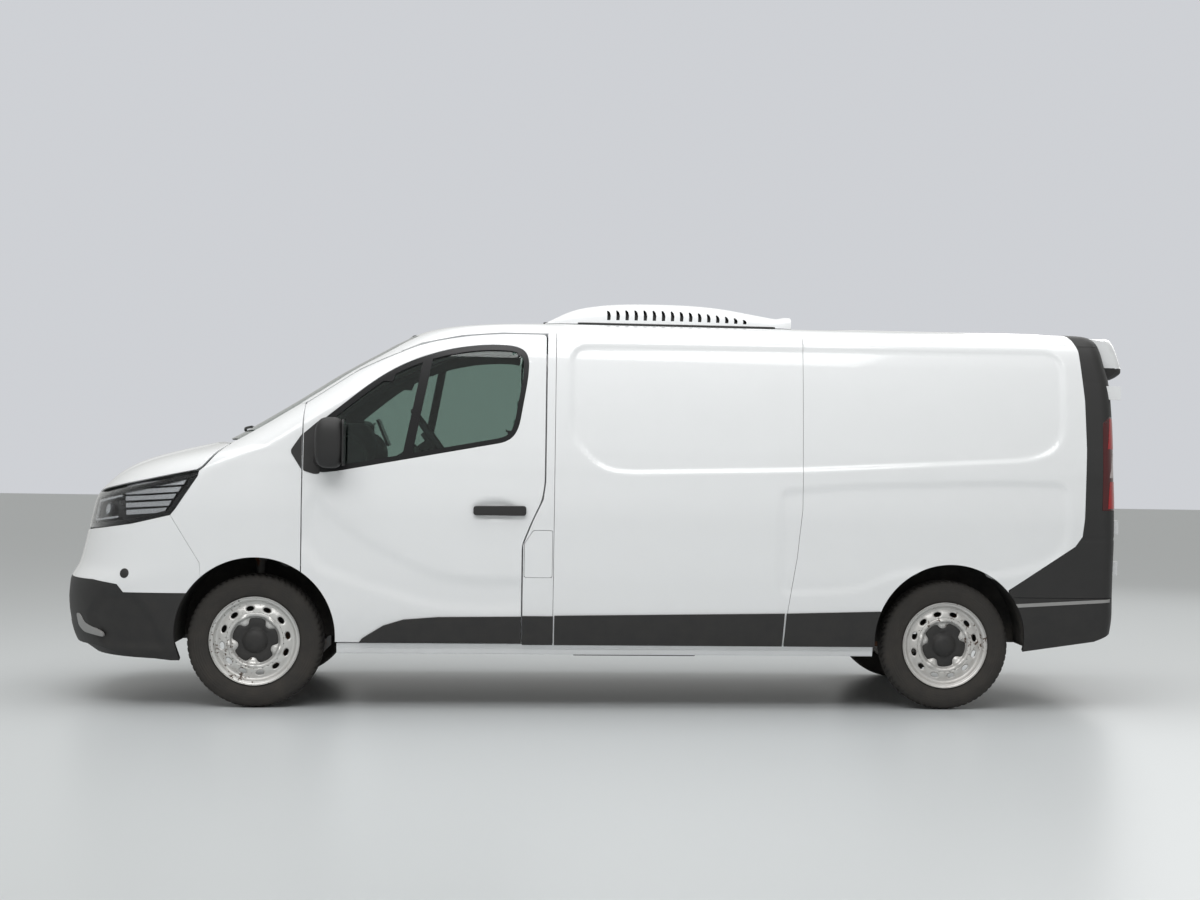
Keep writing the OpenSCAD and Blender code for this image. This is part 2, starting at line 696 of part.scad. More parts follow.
/* ---- roof-mounted cooling unit ---- */
unit_x = b_pillar_x - 58;
module cooling_unit() {
    hood_x1 = unit_x + unit_l;
    slot_pitch = 46;
    color("white") difference() {
        hull() {
            translate([unit_x, -unit_w / 2 + 60, body_h - 30]) cube([unit_l, unit_w - 120, 30]);
            translate([unit_x + 60, -unit_w / 2, body_h - 30]) cube([unit_l - 110, unit_w, 30]);
            for (x = [unit_x + 135, unit_x + 240, unit_x + 380]) for (y = [-1, 1])
                translate([x, y * (unit_w / 2 - 110), body_h + unit_h * (x > unit_x + 200 ? 0.62 : 0.4) - 20])
                    sphere(r = 30, $fn = 16);
            for (x = [unit_x + 440, unit_x + 760]) for (y = [-1, 1])
                translate([x, y * (unit_w / 2 - 120), body_h + unit_h - 45]) sphere(r = 40, $fn = 16);
            translate([hood_x1 - 150, -unit_w / 2 + 70, body_h + 20]) cube([100, unit_w - 140, 24]);
        }
        body_form(0);
        // Louvre slots.
        for (k = [0:unit_slots - 1]) for (y = [-1, 1])
            translate([unit_x + 310 + k * slot_pitch, y * (unit_w / 2 - 40), body_h + 44])
                cube([18, 60, 30], center = true);
    }
}

/* ---- chassis ---- */
rail_y = 430;
beam_front_x = nose_x + 180;
beam_x = tail_x - 170;
tow_hole_r = 6.6;
tow_pitch_y = 120;
tow_pitch_z = 56;
module underbody() {
    color([0.32, 0.33, 0.34]) {
        // Load floor.
        difference() {
            intersection() {
                body_form(wall + seal);
                slab(b_pillar_x - 20, tail_x, -far, far, floor_z - 50, floor_z);
            }
            well_cuts(10.4);
        }
        // Cab floor.
        difference() {
            intersection() {
                body_form(wall + 16 + 2 * seal);
                slab(door_front_x - 130, b_pillar_x - 20, -far, far, cab_floor_z - 30, cab_floor_z);
            }
            well_cuts(12.4);
        }
    }
}
module frame_rails() {
    color([0.14, 0.14, 0.15]) difference() {
        union() {
            mirrored() slab(beam_front_x + 60, beam_x, -rail_y - 30, -rail_y + 30, 380, cab_floor_z - 30);
            for (x = [door_front_x, b_pillar_x, mid_seam_x])
                slab(x, x + 60, -rail_y, rail_y, 390, cab_floor_z - 30);
            // Outriggers to the sills.
            for (x = [door_front_x + 260, b_pillar_x - 40, mid_seam_x - 60])
                mirrored() slab(x, x + 60, -half_w + wall + 70, -rail_y, sill_z, cab_floor_z - 30);
            // Beams across the nose and the tail.
            slab(beam_front_x, beam_front_x + 60, -560, 560, 400, cab_floor_z - 30);
            slab(beam_x, beam_x + 40, -560, 560, 380, cab_floor_z - 30);
            slab(beam_front_x, beam_front_x + 60, -500, 500, cab_floor_z - 31, 640);
        }
        for (y = [-1, 1]) for (z = [-1, 1])
            translate([beam_x - 20, y * tow_pitch_y / 2, 425 + z * tow_pitch_z / 2]) rotate([0, 90, 0])
                cylinder(r = tow_hole_r, h = 80);
    }
}
module wheel_arch_liners() {
    color([0.07, 0.07, 0.07]) {
        intersection() {
            liner(front_arch_x, well_y, half_w);
            union() {
                body_form(wall + 16 + 2 * seal);
                intersection() {
                    body_form(nose_wall + seal);
                    slab(nose_x, door_front_x - 30, -far, far, 0, far);
                }
            }
        }
        intersection() {
            liner(rear_arch_x, rear_well_y, half_w);
            body_form(wall + seal);
        }
    }
}
module liner(x, y0, y1) {
    difference() {
        well(x, well_r + 8, y0 - 8, y1);
        well(x, well_r, y0, y1 + 10);
        slab(x - far, x + far, -far, far, -far, 330);
        // Open below the frame for the arms and the shafts.
        slab(x - 160, x + 160, -far, far, 0, 470);
    }
}
module bulkhead() {
    color([0.75, 0.76, 0.77]) intersection() {
        body_form(wall + seal);
        slab(b_pillar_x + 10, b_pillar_x + 60, -far, far, floor_z, far);
    }
}

/* ---- running gear ---- */
wheel_y = front_track / 2;
rear_wheel_y = rear_track / 2;
ball_y = wheel_y - 72;
ball_z = 233;
strut_y = ball_y - 95;
strut_r = 30;
strut_z = arch_top_z + well_r - strut_r - 0.6;
ball_r = 19;
module tyre_form() {
    h = tyre_w / 2;
    bead = rim_w / 2 - 10.4;
    rotate([90, 0, 0]) rotate_extrude($fn = 96) polygon([
        [rim_r - 4, -bead], [rim_r + 22, -h + 6], [tyre_r - 62, -h], [tyre_r - 22, -h + 10], [tyre_r - 4, -h + 26],
        [tyre_r, -h + 44], [tyre_r, h - 44], [tyre_r - 4, h - 26], [tyre_r - 22, h - 10], [tyre_r - 62, h],
        [rim_r + 22, h - 6], [rim_r - 4, bead], [rim_r - 16, bead], [rim_r - 16, -bead]]);
}
// A steel rim: barrel, flanges, pierced disc, hub and brake disc. The outside is towards -Y.
module rim_form() {
    h = rim_w / 2;
    hub_y = 46;
    difference() {
        rotate([90, 0, 0]) rotate_extrude($fn = 96) polygon([
            [rim_r - 17, -h + 8], [rim_r - 17, -h], [rim_r, -h - 6], [rim_r + 1, -h - 2], [rim_r - 5, -h + 10],
            [rim_r - 16.4, -h + 10], [rim_r - 16.4, h - 10], [rim_r - 5, h - 10], [rim_r + 1, h + 2], [rim_r, h + 6],
            [rim_r - 22, h], [rim_r - 26, h - 20],
            [rim_r - 40, h - 40], [rim_r - 48, h - 32], [138, h - 22], [122, h - 28], [104, h - 42], [62, h - 42],
            [62, h - 10], [spindle_r + pin_gap, h - 10], [spindle_r + pin_gap, h - hub_y - 40],
            [62, h - hub_y - 40], [62, h - 56], [108, h - 54], [128, h - 38], [rim_r - 56, h - 44],
            [rim_r - 46, h - 56], [rim_r - 30, h - 62], [rim_r - 26, -h + 8]]);
        for (k = [0:vent_holes - 1]) rotate([0, k * 360 / vent_holes, 0])
            translate([162, 0, 0]) rotate([90, 0, 0]) cylinder(r = 12, h = far, center = true, $fn = 24);
    }
    // Brake disc.
    rotate([90, 0, 0]) rotate_extrude($fn = 64) polygon([
        [61, h - hub_y - 39.9], [61, h - hub_y - 26], [146, h - hub_y - 26], [146, h - hub_y - 52],
        [spindle_r + pin_gap, h - hub_y - 52], [spindle_r + pin_gap, h - hub_y - 39.9]]);
}
module at_wheel(x, y, side) {
    translate([x, side * y, tyre_r]) mirror([0, side > 0 ? 1 : 0, 0]) children();
}
module tyre_at(x, y, side) { color([0.1, 0.095, 0.09]) at_wheel(x, y, side) tyre_form(); }
module rim_at(x, y, side) { color([0.75, 0.75, 0.74]) at_wheel(x, y, side) rim_form(); }
module front_left_tyre() { tyre_at(front_axle_x, wheel_y, -1); }
module front_right_tyre() { tyre_at(front_axle_x, wheel_y, 1); }
module rear_left_tyre() { tyre_at(rear_axle_x, rear_wheel_y, -1); }
module rear_right_tyre() { tyre_at(rear_axle_x, rear_wheel_y, 1); }
module front_left_rim() { rim_at(front_axle_x, wheel_y, -1); }
module front_right_rim() { rim_at(front_axle_x, wheel_y, 1); }
module rear_left_rim() { rim_at(rear_axle_x, rear_wheel_y, -1); }
module rear_right_rim() { rim_at(rear_axle_x, rear_wheel_y, 1); }

hub_end = rim_w / 2 - 14;
hub_root = rim_w / 2 - 46 - 52 - 5;
// Upright, spindle and strut, which steer together about the line through the two ball centres.
module knuckle_form() {
    translate([front_axle_x, 0, 0]) {
        translate([0, -wheel_y - hub_end, tyre_r]) rotate([-90, 0, 0]) cylinder(r = spindle_r, h = hub_end - hub_root + 20);
        hull() {
            translate([0, -wheel_y - hub_root, tyre_r]) rotate([-90, 0, 0]) cylinder(r = 52, h = 36, $fn = 32);
            translate([0, -ball_y, ball_z + 14]) sphere(r = 18, $fn = 24);
        }
        translate([0, -ball_y, ball_z]) sphere(r = ball_r, $fn = 32);
        rod([0, -wheel_y - hub_root + 24, tyre_r + 20], [0, -ball_y + 60, 520], 20);
        rod([0, -ball_y + 50, 480], [0, -strut_y, strut_z], 24);
        translate([0, -strut_y, strut_z]) sphere(r = strut_r, $fn = 32);
    }
}
module left_knuckle() { color([0.3, 0.3, 0.31]) knuckle_form(); }
module right_knuckle() { color([0.3, 0.3, 0.31]) mirror([0, 1, 0]) knuckle_form(); }
module front_subframe() {
    color([0.16, 0.16, 0.17]) {
        slab(front_axle_x - 60, front_axle_x + 260, -420, 420, 200, 262);
        mirrored() {
            slab(front_axle_x + 60, front_axle_x + 130, -460, -400, 262, 380);
            for (x = [-30, 100]) hull() {
                translate([front_axle_x, -ball_y, ball_z - ball_r - pin_gap - 20]) cylinder(r = 20, h = 20);
                translate([front_axle_x + x, -430, ball_z - ball_r - pin_gap - 28]) cube([50, 30, 28]);
            }
        }
    }
}
module engine() {
    color([0.4, 0.4, 0.41]) {
        slab(front_axle_x - 640, front_axle_x - 90, -360, 320, 300, 860);
        // Mounts on the frame rails.
        slab(front_axle_x - 420, front_axle_x - 340, -rail_y + 30 + seal, rail_y - 30 - seal, 400, 450);
    }
}
module rear_axle() {
    color([0.16, 0.16, 0.17]) {
        slab(rear_axle_x - 330, rear_axle_x - 240, -rear_wheel_y + 230, rear_wheel_y - 230, 300, 380);
        mirrored() {
            translate([rear_axle_x, -rear_wheel_y - hub_end, tyre_r]) rotate([-90, 0, 0])
                cylinder(r = spindle_r, h = hub_end - hub_root + 20);
            translate([rear_axle_x, -rear_wheel_y - hub_root, tyre_r]) rotate([-90, 0, 0])
                cylinder(r = 52, h = 60);
            slab(rear_axle_x - 330, rear_axle_x + 40, -rear_wheel_y + 186, -rear_wheel_y + 236, 306, 366);
            slab(rear_axle_x - 30, rear_axle_x + 30, -rear_wheel_y - hub_root + 50, -rear_wheel_y + 200, 306, 366);
            // Trailing pivots and springs up to the frame rails.
            slab(rear_axle_x - 320, rear_axle_x - 250, -rail_y - 28, -rail_y + 28, 370, 380);
            slab(rear_axle_x - 20, rear_axle_x + 40, -rear_wheel_y + 230, -rail_y + 20, 320, 366);
            translate([rear_axle_x + 10, -rail_y, 360]) cylinder(r = 26, h = 20);
        }
    }
}
module fuel_tank() {
    color([0.1, 0.1, 0.1]) hull() {
        slab(b_pillar_x + 80, b_pillar_x + 760, -rail_y - 370, -rail_y - 30 - seal, 300, 468);
        slab(b_pillar_x + 110, b_pillar_x + 730, -rail_y - 350, -rail_y - 50, 260, 468);
    }
}
module exhaust() {
    color([0.4, 0.38, 0.36]) {
        rod([front_axle_x + 320, 180, 330], [b_pillar_x + 120, 250, 330], 26);
        rod([b_pillar_x + 100, 250, 330], [b_pillar_x + 900, 250, 330], 58);
        rod([b_pillar_x + 880, 250, 330], [mid_seam_x + 95, 250, 336], 24);
        translate([mid_seam_x + 95, 250, 336]) sphere(r = 31);
        rod([mid_seam_x + 95, 250, 336], [rear_axle_x - 400, 250, 425], 22);
        translate([rear_axle_x - 400, 250, 425]) sphere(r = 30);
        rod([rear_axle_x - 400, 250, 425], [beam_x - 135, 250, 425], 23);
        translate([beam_x - 135, 250, 425]) sphere(r = 29);
        rod([beam_x - 135, 250, 425], [beam_x - 30, 300, 340], 24);
        // Hangers on the frame.
        slab(b_pillar_x + 10, b_pillar_x + 40, 200, 300, 340, 390 - seal);
        slab(mid_seam_x + 10, mid_seam_x + 40, 240, 260, 350, 390 - seal);
    }
}

/* ---- cab ---- */
wheel_x = door_front_x + 618;
seat_x = door_front_x + 790;
driver_y = -430;
column_tilt = 54;
column_l = 90;
module on_column() {
    translate([wheel_x, driver_y, 1355]) rotate([0, column_tilt, 0]) children();
}
module dashboard() {
    color([0.1, 0.1, 0.11]) {
        difference() {
            intersection() {
                body_form(wall + 20);
                across([[door_front_x - 129, 700], [door_front_x + 60, 700], [door_front_x + 160, 860],
                    [door_front_x + 182, 1066], [door_front_x + 290, 1130], [door_front_x + 330, 1290],
                    [door_front_x + 290, 1380], [door_front_x + 150, 1440], [door_front_x - 129, 1405]],
                    -half_w + 190, half_w - 190);
            }
            well(front_arch_x, well_r + 8 + seal, well_y - 8 - seal, half_w);
        }
        // Shroud of the steering column.
        on_column() translate([0, 0, -column_l - seal - 470]) cylinder(r = 45, h = 470);
    }
}
module steering_wheel() {
    color([0.1, 0.1, 0.1]) on_column() {
        rotate_extrude($fn = 64) translate([steering_d / 2 - 15, 0]) circle(r = 15, $fn = 24);
        translate([0, 0, -40]) cylinder(r = 62, h = 44);
        for (a = [90, 210, 330]) rotate([0, 0, a]) translate([0, -16, -12]) cube([steering_d / 2 - 15, 32, 14]);
        translate([0, 0, -column_l]) cylinder(r = 22, h = column_l - 38);
    }
}
module seat(y0, y1) {
    // Base box, cushion and backrest.
    slab(seat_x - 180, seat_x + 180, y0 + 40, y1 - 40, cab_floor_z, 740);
    hull() {
        slab(seat_x - 260, seat_x + 200, y0, y1, 770, 850);
        slab(seat_x - 230, seat_x + 180, y0 + 20, y1 - 20, 740, 870);
    }
    hull() {
        slab(seat_x + 180, seat_x + 300, y0 + 10, y1 - 10, 840, 900);
        slab(seat_x + 290, seat_x + 390, y0 + 40, y1 - 40, 1380, 1440);
    }
}
module driver_seat() {
    color([0.14, 0.14, 0.15]) {
        seat(driver_y - seat_w / 2, driver_y + seat_w / 2);
        hull() {
            slab(seat_x + 318, seat_x + 408, driver_y - 130, driver_y + 130, 1470, 1650);
            slab(seat_x + 330, seat_x + 390, driver_y - 110, driver_y + 110, 1450, 1670);
        }
        for (y = [-60, 60]) rod([seat_x + 355, driver_y + y, 1400], [seat_x + 362, driver_y + y, 1500], 8);
    }
}
module passenger_bench() {
    color([0.14, 0.14, 0.15]) {
        seat(-70, 780);
        for (y = [130, 560]) {
            hull() {
                slab(seat_x + 318, seat_x + 408, y - 130, y + 130, 1470, 1650);
                slab(seat_x + 330, seat_x + 390, y - 110, y + 110, 1450, 1670);
            }
            for (dy = [-60, 60]) rod([seat_x + 355, y + dy, 1400], [seat_x + 362, y + dy, 1500], 8);
        }
    }
}

underbody();
frame_rails();
cab_frame();
sills();
wheel_arch_liners();
left_side_panel();
left_quarter_panel();
sliding_door();
right_quarter_panel();
b_pillars();
roof();
windscreen();
front_wings();
bonnet();
bumper_cover();
front_bumper();
grille();
headlamps();
side_mouldings();
bulkhead();
dashboard();
driver_seat();
passenger_bench();
engine();
front_subframe();
rear_axle();
fuel_tank();
exhaust();
rear_bumper();
corner_trims();
tail_lamps();
cooling_unit();
hinges();
left_door();
left_door_glass();
left_mirror();
left_door_trim();
right_door();
right_door_glass();
right_mirror();
right_door_trim();
left_rear_door();
right_rear_door();
brake_lamp_pod();
rear_spoiler();
steering_wheel();
left_knuckle();
right_knuckle();
front_left_tyre();
front_left_rim();
front_right_tyre();
front_right_rim();
rear_left_tyre();
rear_left_rim();
rear_right_tyre();
rear_right_rim();
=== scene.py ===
"""Refrigerated panel van: skins, glass, lamps, wheels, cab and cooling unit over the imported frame.

Metres. +X is the rear, -Y the driver's side, +Z up. Every new piece is a surface worked out as whole arrays.
"""

import bmesh
import bpy
import numpy as np
from mathutils import Matrix, Vector
from mathutils.geometry import delaunay_2d_cdt


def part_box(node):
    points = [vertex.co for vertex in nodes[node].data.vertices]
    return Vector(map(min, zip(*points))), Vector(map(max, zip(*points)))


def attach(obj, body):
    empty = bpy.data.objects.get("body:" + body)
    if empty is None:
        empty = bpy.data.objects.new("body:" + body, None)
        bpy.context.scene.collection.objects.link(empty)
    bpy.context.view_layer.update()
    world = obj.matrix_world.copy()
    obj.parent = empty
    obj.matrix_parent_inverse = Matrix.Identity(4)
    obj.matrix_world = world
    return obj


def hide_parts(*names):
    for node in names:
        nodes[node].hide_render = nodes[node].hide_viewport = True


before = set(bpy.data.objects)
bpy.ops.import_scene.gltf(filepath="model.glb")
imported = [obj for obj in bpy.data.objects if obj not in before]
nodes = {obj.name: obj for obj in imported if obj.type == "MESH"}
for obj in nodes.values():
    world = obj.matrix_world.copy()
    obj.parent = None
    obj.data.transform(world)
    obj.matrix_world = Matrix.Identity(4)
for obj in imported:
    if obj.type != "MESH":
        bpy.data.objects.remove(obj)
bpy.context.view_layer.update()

HALF, NOSE, TAIL = 0.978, -2.740, 2.740
FRONT_AXLE = sum(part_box("front_left_tyre")[k].x for k in (0, 1)) / 2
REAR_AXLE = sum(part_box("rear_left_tyre")[k].x for k in (0, 1)) / 2
DOOR_FRONT = FRONT_AXLE + 0.231
DOOR_REAR = DOOR_FRONT + 1.196
DOOR_FOOT = DOOR_REAR - 0.110
B_PILLAR = DOOR_REAR + 0.050
MID_SEAM = B_PILLAR + 1.260
TRIM = TAIL - 0.251
FRONT_ARCH, REAR_ARCH = FRONT_AXLE + 0.006, REAR_AXLE + 0.016
ARCH_R, ARCH_TOP = 0.392, 0.364
ROOF_LINE, SILL = 1.905, 0.328
SHUT, SEAM = 0.007, 0.0010
GRILLE_Y, SPLIT_Y = 0.420, 0.155


# ---------------------------------------------------------------- the body's skin
# Plan sections of the body: height, set-back from the nose, inset of the sides, length and power of the nose's
# rounding, set-back from the tail. Powers are plain numbers, the rest millimetres.
SECTIONS = np.array([
    [230, 115, 75, 560, 2.5, 130], [300, 36, 48, 620, 2.6, 66], [400, 8, 24, 650, 2.7, 40], [500, 0, 10, 660, 2.8, 32],
    [610, 8, 4, 660, 2.8, 34], [700, 50, 0, 640, 2.7, 34], [870, 90, 0, 620, 2.6, 30], [980, 112, 0, 600, 2.5, 31],
    [1045, 135, 2, 590, 2.5, 32], [1105, 185, 6, 580, 2.4, 33], [1170, 265, 11, 560, 2.3, 35],
    [1225, 390, 15, 520, 2.3, 36], [1270, 548, 20, 450, 2.3, 37], [1315, 728, 25, 390, 2.3, 38],
    [1345, 805, 29, 360, 2.4, 38], [1530, 1118, 56, 330, 2.5, 42], [1700, 1381, 86, 310, 2.5, 54],
    [1800, 1556, 108, 300, 2.5, 78], [1860, 1662, 128, 290, 2.5, 92], [1900, 1752, 152, 280, 2.6, 104],
    [1930, 1850, 186, 280, 2.6, 118], [1950, 1990, 235, 300, 2.6, 136], [1963, 2210, 330, 320, 2.6, 168],
    [1971, 2650, 560, 350, 2.4, 240]])
TOP = len(SECTIONS) - 1
FINE, ALONG = 24, 1201


def eased(rows, column):
    """A column of the sections at any row number: cubic pieces whose slope at a row is the harmonic mean of its two sides."""
    value = SECTIONS[:, column]
    rise = np.diff(value)
    slope = np.zeros(len(value))
    same = rise[:-1] * rise[1:] > 0
    slope[1:-1][same] = (2 * rise[:-1] * rise[1:])[same] / (rise[:-1] + rise[1:])[same]
    slope[0], slope[-1] = rise[0], rise[-1]
    k = np.clip(np.floor(rows).astype(int), 0, TOP - 1)
    t = rows - k
    return (value[k] * (1 + 2 * t) * (1 - t) ** 2 + value[k + 1] * t * t * (3 - 2 * t)
            + slope[k] * t * (1 - t) ** 2 - slope[k + 1] * t * t * (1 - t))


def ring_tables():
    """Each half ring runs from the nose's middle to the tail's middle: a power curve at the nose's corner, a straight side
    and a power curve at the tail, laid out again at equal steps of its own length."""
    rows = np.linspace(0, TOP, TOP * FINE + 1)
    height, back, inset, run, power, tail = (eased(rows, c) for c in range(6))
    angle = np.linspace(0, np.pi / 2, 300)
    turn = np.linspace(np.pi / 2, 0, 120)
    xs, ys = [], []
    share = np.linspace(0, 1, ALONG)
    for k in range(len(rows)):
        side = HALF - inset[k] / 1000
        p = power[k]
        x = np.concatenate([NOSE + back[k] / 1000 + run[k] / 1000 * (1 - np.cos(angle) ** (2 / p)),
                            TAIL - tail[k] / 1000 - 0.13 + 0.13 * np.abs(np.cos(turn)) ** (2 / 3)])
        y = np.concatenate([side * np.sin(angle) ** (2 / p), side * np.abs(np.sin(turn)) ** (2 / 3)])
        way = np.concatenate([[0], np.cumsum(np.hypot(np.diff(x), np.diff(y)))])
        xs.append(np.interp(share * way[-1], way, x))
        ys.append(np.interp(share * way[-1], way, y))
    return rows, height / 1000, np.array(xs), np.array(ys), back / 1000, inset / 1000, run / 1000


ROWS, HEIGHT, RING_X, RING_Y, BACK, INSET, RUN = ring_tables()
CLIMB = np.concatenate([[0], np.cumsum(np.sqrt(np.diff(HEIGHT) ** 2 + (0.45 * np.diff(BACK)) ** 2 + np.diff(INSET) ** 2))])
SHEET = 6.3
CAP = 0.418


def between(table, s, row):
    i = np.clip(np.floor(row).astype(int), 0, len(ROWS) - 2)
    f = row - i
    col = s * (ALONG - 1)
    j = np.clip(np.floor(col).astype(int), 0, ALONG - 2)
    g = col - j
    return ((table[i, j] * (1 - g) + table[i, j + 1] * g) * (1 - f)
            + (table[i + 1, j] * (1 - g) + table[i + 1, j + 1] * g) * f)


def skin(a, q):
    """The half skin, y positive: a is the way round the van and q the way up it. Past the last ring it closes to the middle."""
    row = np.interp(q, CLIMB, np.arange(len(ROWS)))
    over = np.clip((q - CLIMB[-1]) / CAP, 0, 1)
    s = np.clip(a / SHEET, 0, 1)
    return np.stack([between(RING_X, s, row), between(RING_Y, s, row) * (1 - over),
                     np.interp(row, np.arange(len(ROWS)), HEIGHT) + 0.004 * np.sin(over * np.pi / 2)], 1)


def outward(a, q, e=0.004):
    """Unit normals of the half skin, from differences along a and q."""
    along = skin(np.clip(a + e, 0, SHEET), q) - skin(np.clip(a - e, 0, SHEET), q)
    up = skin(a, np.clip(q + e, 0, CLIMB[-1] + CAP)) - skin(a, np.clip(q - e, 0, CLIMB[-1] + CAP))
    n = np.cross(up, along)
    return n / np.maximum(np.linalg.norm(n, axis=1, keepdims=True), 1e-9)


def seek(table, target, row, top=1.0):
    """The share of the ring where the table reaches a target, by halving."""
    lo, hi = np.zeros(len(target)), np.full(len(target), top)
    for _ in range(22):
        mid = (lo + hi) / 2
        low = between(table, mid, row) < target
        lo, hi = np.where(low, mid, lo), np.where(low, hi, mid)
    return (lo + hi) / 2


def climb_at(z):
    return np.interp(z, HEIGHT, CLIMB)


def from_side(points):
    """Sheet places of points given in the side view, as x and z."""
    p = np.asarray(points, float)
    row = np.interp(p[:, 1], HEIGHT, np.arange(len(ROWS)))
    return np.c_[seek(RING_X, p[:, 0], row) * SHEET, climb_at(p[:, 1])]


def from_front(points):
    """Sheet places of points given in the front view, as y and z."""
    p = np.asarray(points, float)
    row = np.interp(p[:, 1], HEIGHT, np.arange(len(ROWS)))
    return np.c_[seek(RING_Y, p[:, 0], row, 0.4) * SHEET, climb_at(p[:, 1])]


def from_rear(points):
    """Sheet places of points given in the rear view, as y and z."""
    p = np.asarray(points, float)
    row = np.interp(p[:, 1], HEIGHT, np.arange(len(ROWS)))
    lo, hi = np.full(len(p), 0.6), np.ones(len(p))
    for _ in range(22):
        mid = (lo + hi) / 2
        wide = between(RING_Y, mid, row) > p[:, 0]
        lo, hi = np.where(wide, mid, lo), np.where(wide, hi, mid)
    return np.c_[(lo + hi) / 2 * SHEET, climb_at(p[:, 1])]


def front_of(z):
    return NOSE + np.interp(z, HEIGHT, BACK)


def pillar_of(z):
    return front_of(z) + 0.404 * np.interp(z, HEIGHT, RUN)


def screen_edge(z):
    return pillar_of(z) - 0.034


# ---------------------------------------------------------------- outlines
def dense(points, step=0.012):
    """A closed outline with points added so that no side is longer than a step."""
    p = np.asarray(points, float)
    out = []
    for a, b in zip(p, np.roll(p, -1, 0)):
        n = max(1, int(np.ceil(np.linalg.norm(b - a) / step)))
        out.append(a + (b - a) * np.arange(n)[:, None] / n)
    return np.concatenate(out)


def open_line(points, step=0.014):
    """An open line with points added so that no side is longer than a step."""
    p = np.asarray(points, float)
    return np.concatenate([*(np.linspace(a, b, max(1, int(np.ceil(np.linalg.norm(b - a) / step))), endpoint=False)
                             for a, b in zip(p[:-1], p[1:])), p[-1:]])


def rounded(points, r, n=6):
    """A closed outline whose corners are parabolas that leave their sides r from the corner, or half way on a short side."""
    p = np.asarray(points, float)
    r = np.broadcast_to(np.asarray(r, float), (len(p),))[:, None]

    def towards(q):
        d = q - p
        return p + d * np.minimum(r / np.maximum(np.linalg.norm(d, axis=1, keepdims=True), 1e-9), 0.5)
    a, b = towards(np.roll(p, 1, 0)), towards(np.roll(p, -1, 0))
    t = np.linspace(0, 1, n)[:, None, None]
    return ((1 - t) ** 2 * a + 2 * t * (1 - t) * p + t * t * b).transpose(1, 0, 2).reshape(-1, 2)


def grown(points, d):
    """A closed outline moved out by d along the mean of its sides' normals."""
    p = np.asarray(points, float)
    side = np.roll(p, -1, 0) - p
    n = np.c_[side[:, 1], -side[:, 0]] / np.maximum(np.linalg.norm(side, axis=1, keepdims=True), 1e-9)
    area = np.sum(p[:, 0] * np.roll(p[:, 1], -1) - p[:, 1] * np.roll(p[:, 0], -1))
    m = n + np.roll(n, 1, 0)
    m /= np.maximum(np.sum(m * m, 1, keepdims=True) / 2, 0.3)
    return p + m * d * (1 if area > 0 else -1)


def inside(p, loop):
    """True where a point lies within a closed loop, by counting the sides to its right."""
    a, b = loop, np.roll(loop, -1, 0)
    out = np.zeros(len(p), bool)
    for k in range(0, len(p), 4000):
        x, y = p[k:k + 4000, 0:1], p[k:k + 4000, 1:2]
        cross = (a[:, 1] > y) != (b[:, 1] > y)
        at = (b[:, 0] - a[:, 0]) * (y - a[:, 1]) / np.where(b[:, 1] == a[:, 1], 1, b[:, 1] - a[:, 1]) + a[:, 0]
        out[k:k + 4000] = (cross & (x < at)).sum(1) % 2 == 1
    return out


def distance(p, loop, closed=True):
    """Distance from points to a line of sides."""
    a = loop if closed else loop[:-1]
    b = np.roll(loop, -1, 0) if closed else loop[1:]
    d = b - a
    out = np.zeros(len(p))
    for k in range(0, len(p), 3000):
        v = p[k:k + 3000, None] - a
        t = np.clip((v * d).sum(2) / np.maximum((d * d).sum(1), 1e-12), 0, 1)
        out[k:k + 3000] = np.sqrt(((v - t[..., None] * d) ** 2).sum(2).min(1))
    return out


def filled(outline, holes=(), step=0.018):
    """Flat points and triangles that fill an outline, less its holes, on a grid of the given step."""
    loops = [np.asarray(l, float) for l in (outline, *holes)]
    lo, hi = loops[0].min(0), loops[0].max(0)
    n = np.maximum(np.ceil((hi - lo) / step).astype(int), 1)
    grid = np.stack(np.meshgrid(*(np.linspace(lo[k], hi[k], n[k] + 1) for k in (0, 1)), indexing="ij"), 2).reshape(-1, 2)
    keep = inside(grid, loops[0])
    for hole in loops[1:]:
        keep &= ~inside(grid, hole)
    grid = grid[keep]
    for loop in loops:
        grid = grid[distance(grid, loop) > 0.45 * step]
    edges, start = [], 0
    for loop in loops:
        k = np.arange(len(loop)) + start
        edges.append(np.c_[k, np.roll(k, -1)])
        start += len(loop)
    points = np.concatenate([*loops, grid])
    found = delaunay_2d_cdt([Vector(p) for p in points.tolist()], np.concatenate(edges).tolist(), [], 0, 1e-7, False)
    points = np.array([p[:] for p in found[0]])
    tris = np.array([t for t in found[2] if len(t) == 3])
    mid = points[tris].mean(1)
    keep = inside(mid, loops[0])
    for hole in loops[1:]:
        keep &= ~inside(mid, hole)
    one, two = points[tris[:, 1]] - points[tris[:, 0]], points[tris[:, 2]] - points[tris[:, 0]]
    longest = np.maximum(np.hypot(*one.T), np.hypot(*two.T))
    keep &= np.abs(one[:, 0] * two[:, 1] - one[:, 1] * two[:, 0]) > 1e-5 * longest      # leaves out slivers along straight edges
    tris = tris[keep]
    used, tris = np.unique(tris, return_inverse=True)
    return points[used], tris.reshape(-1, 3)


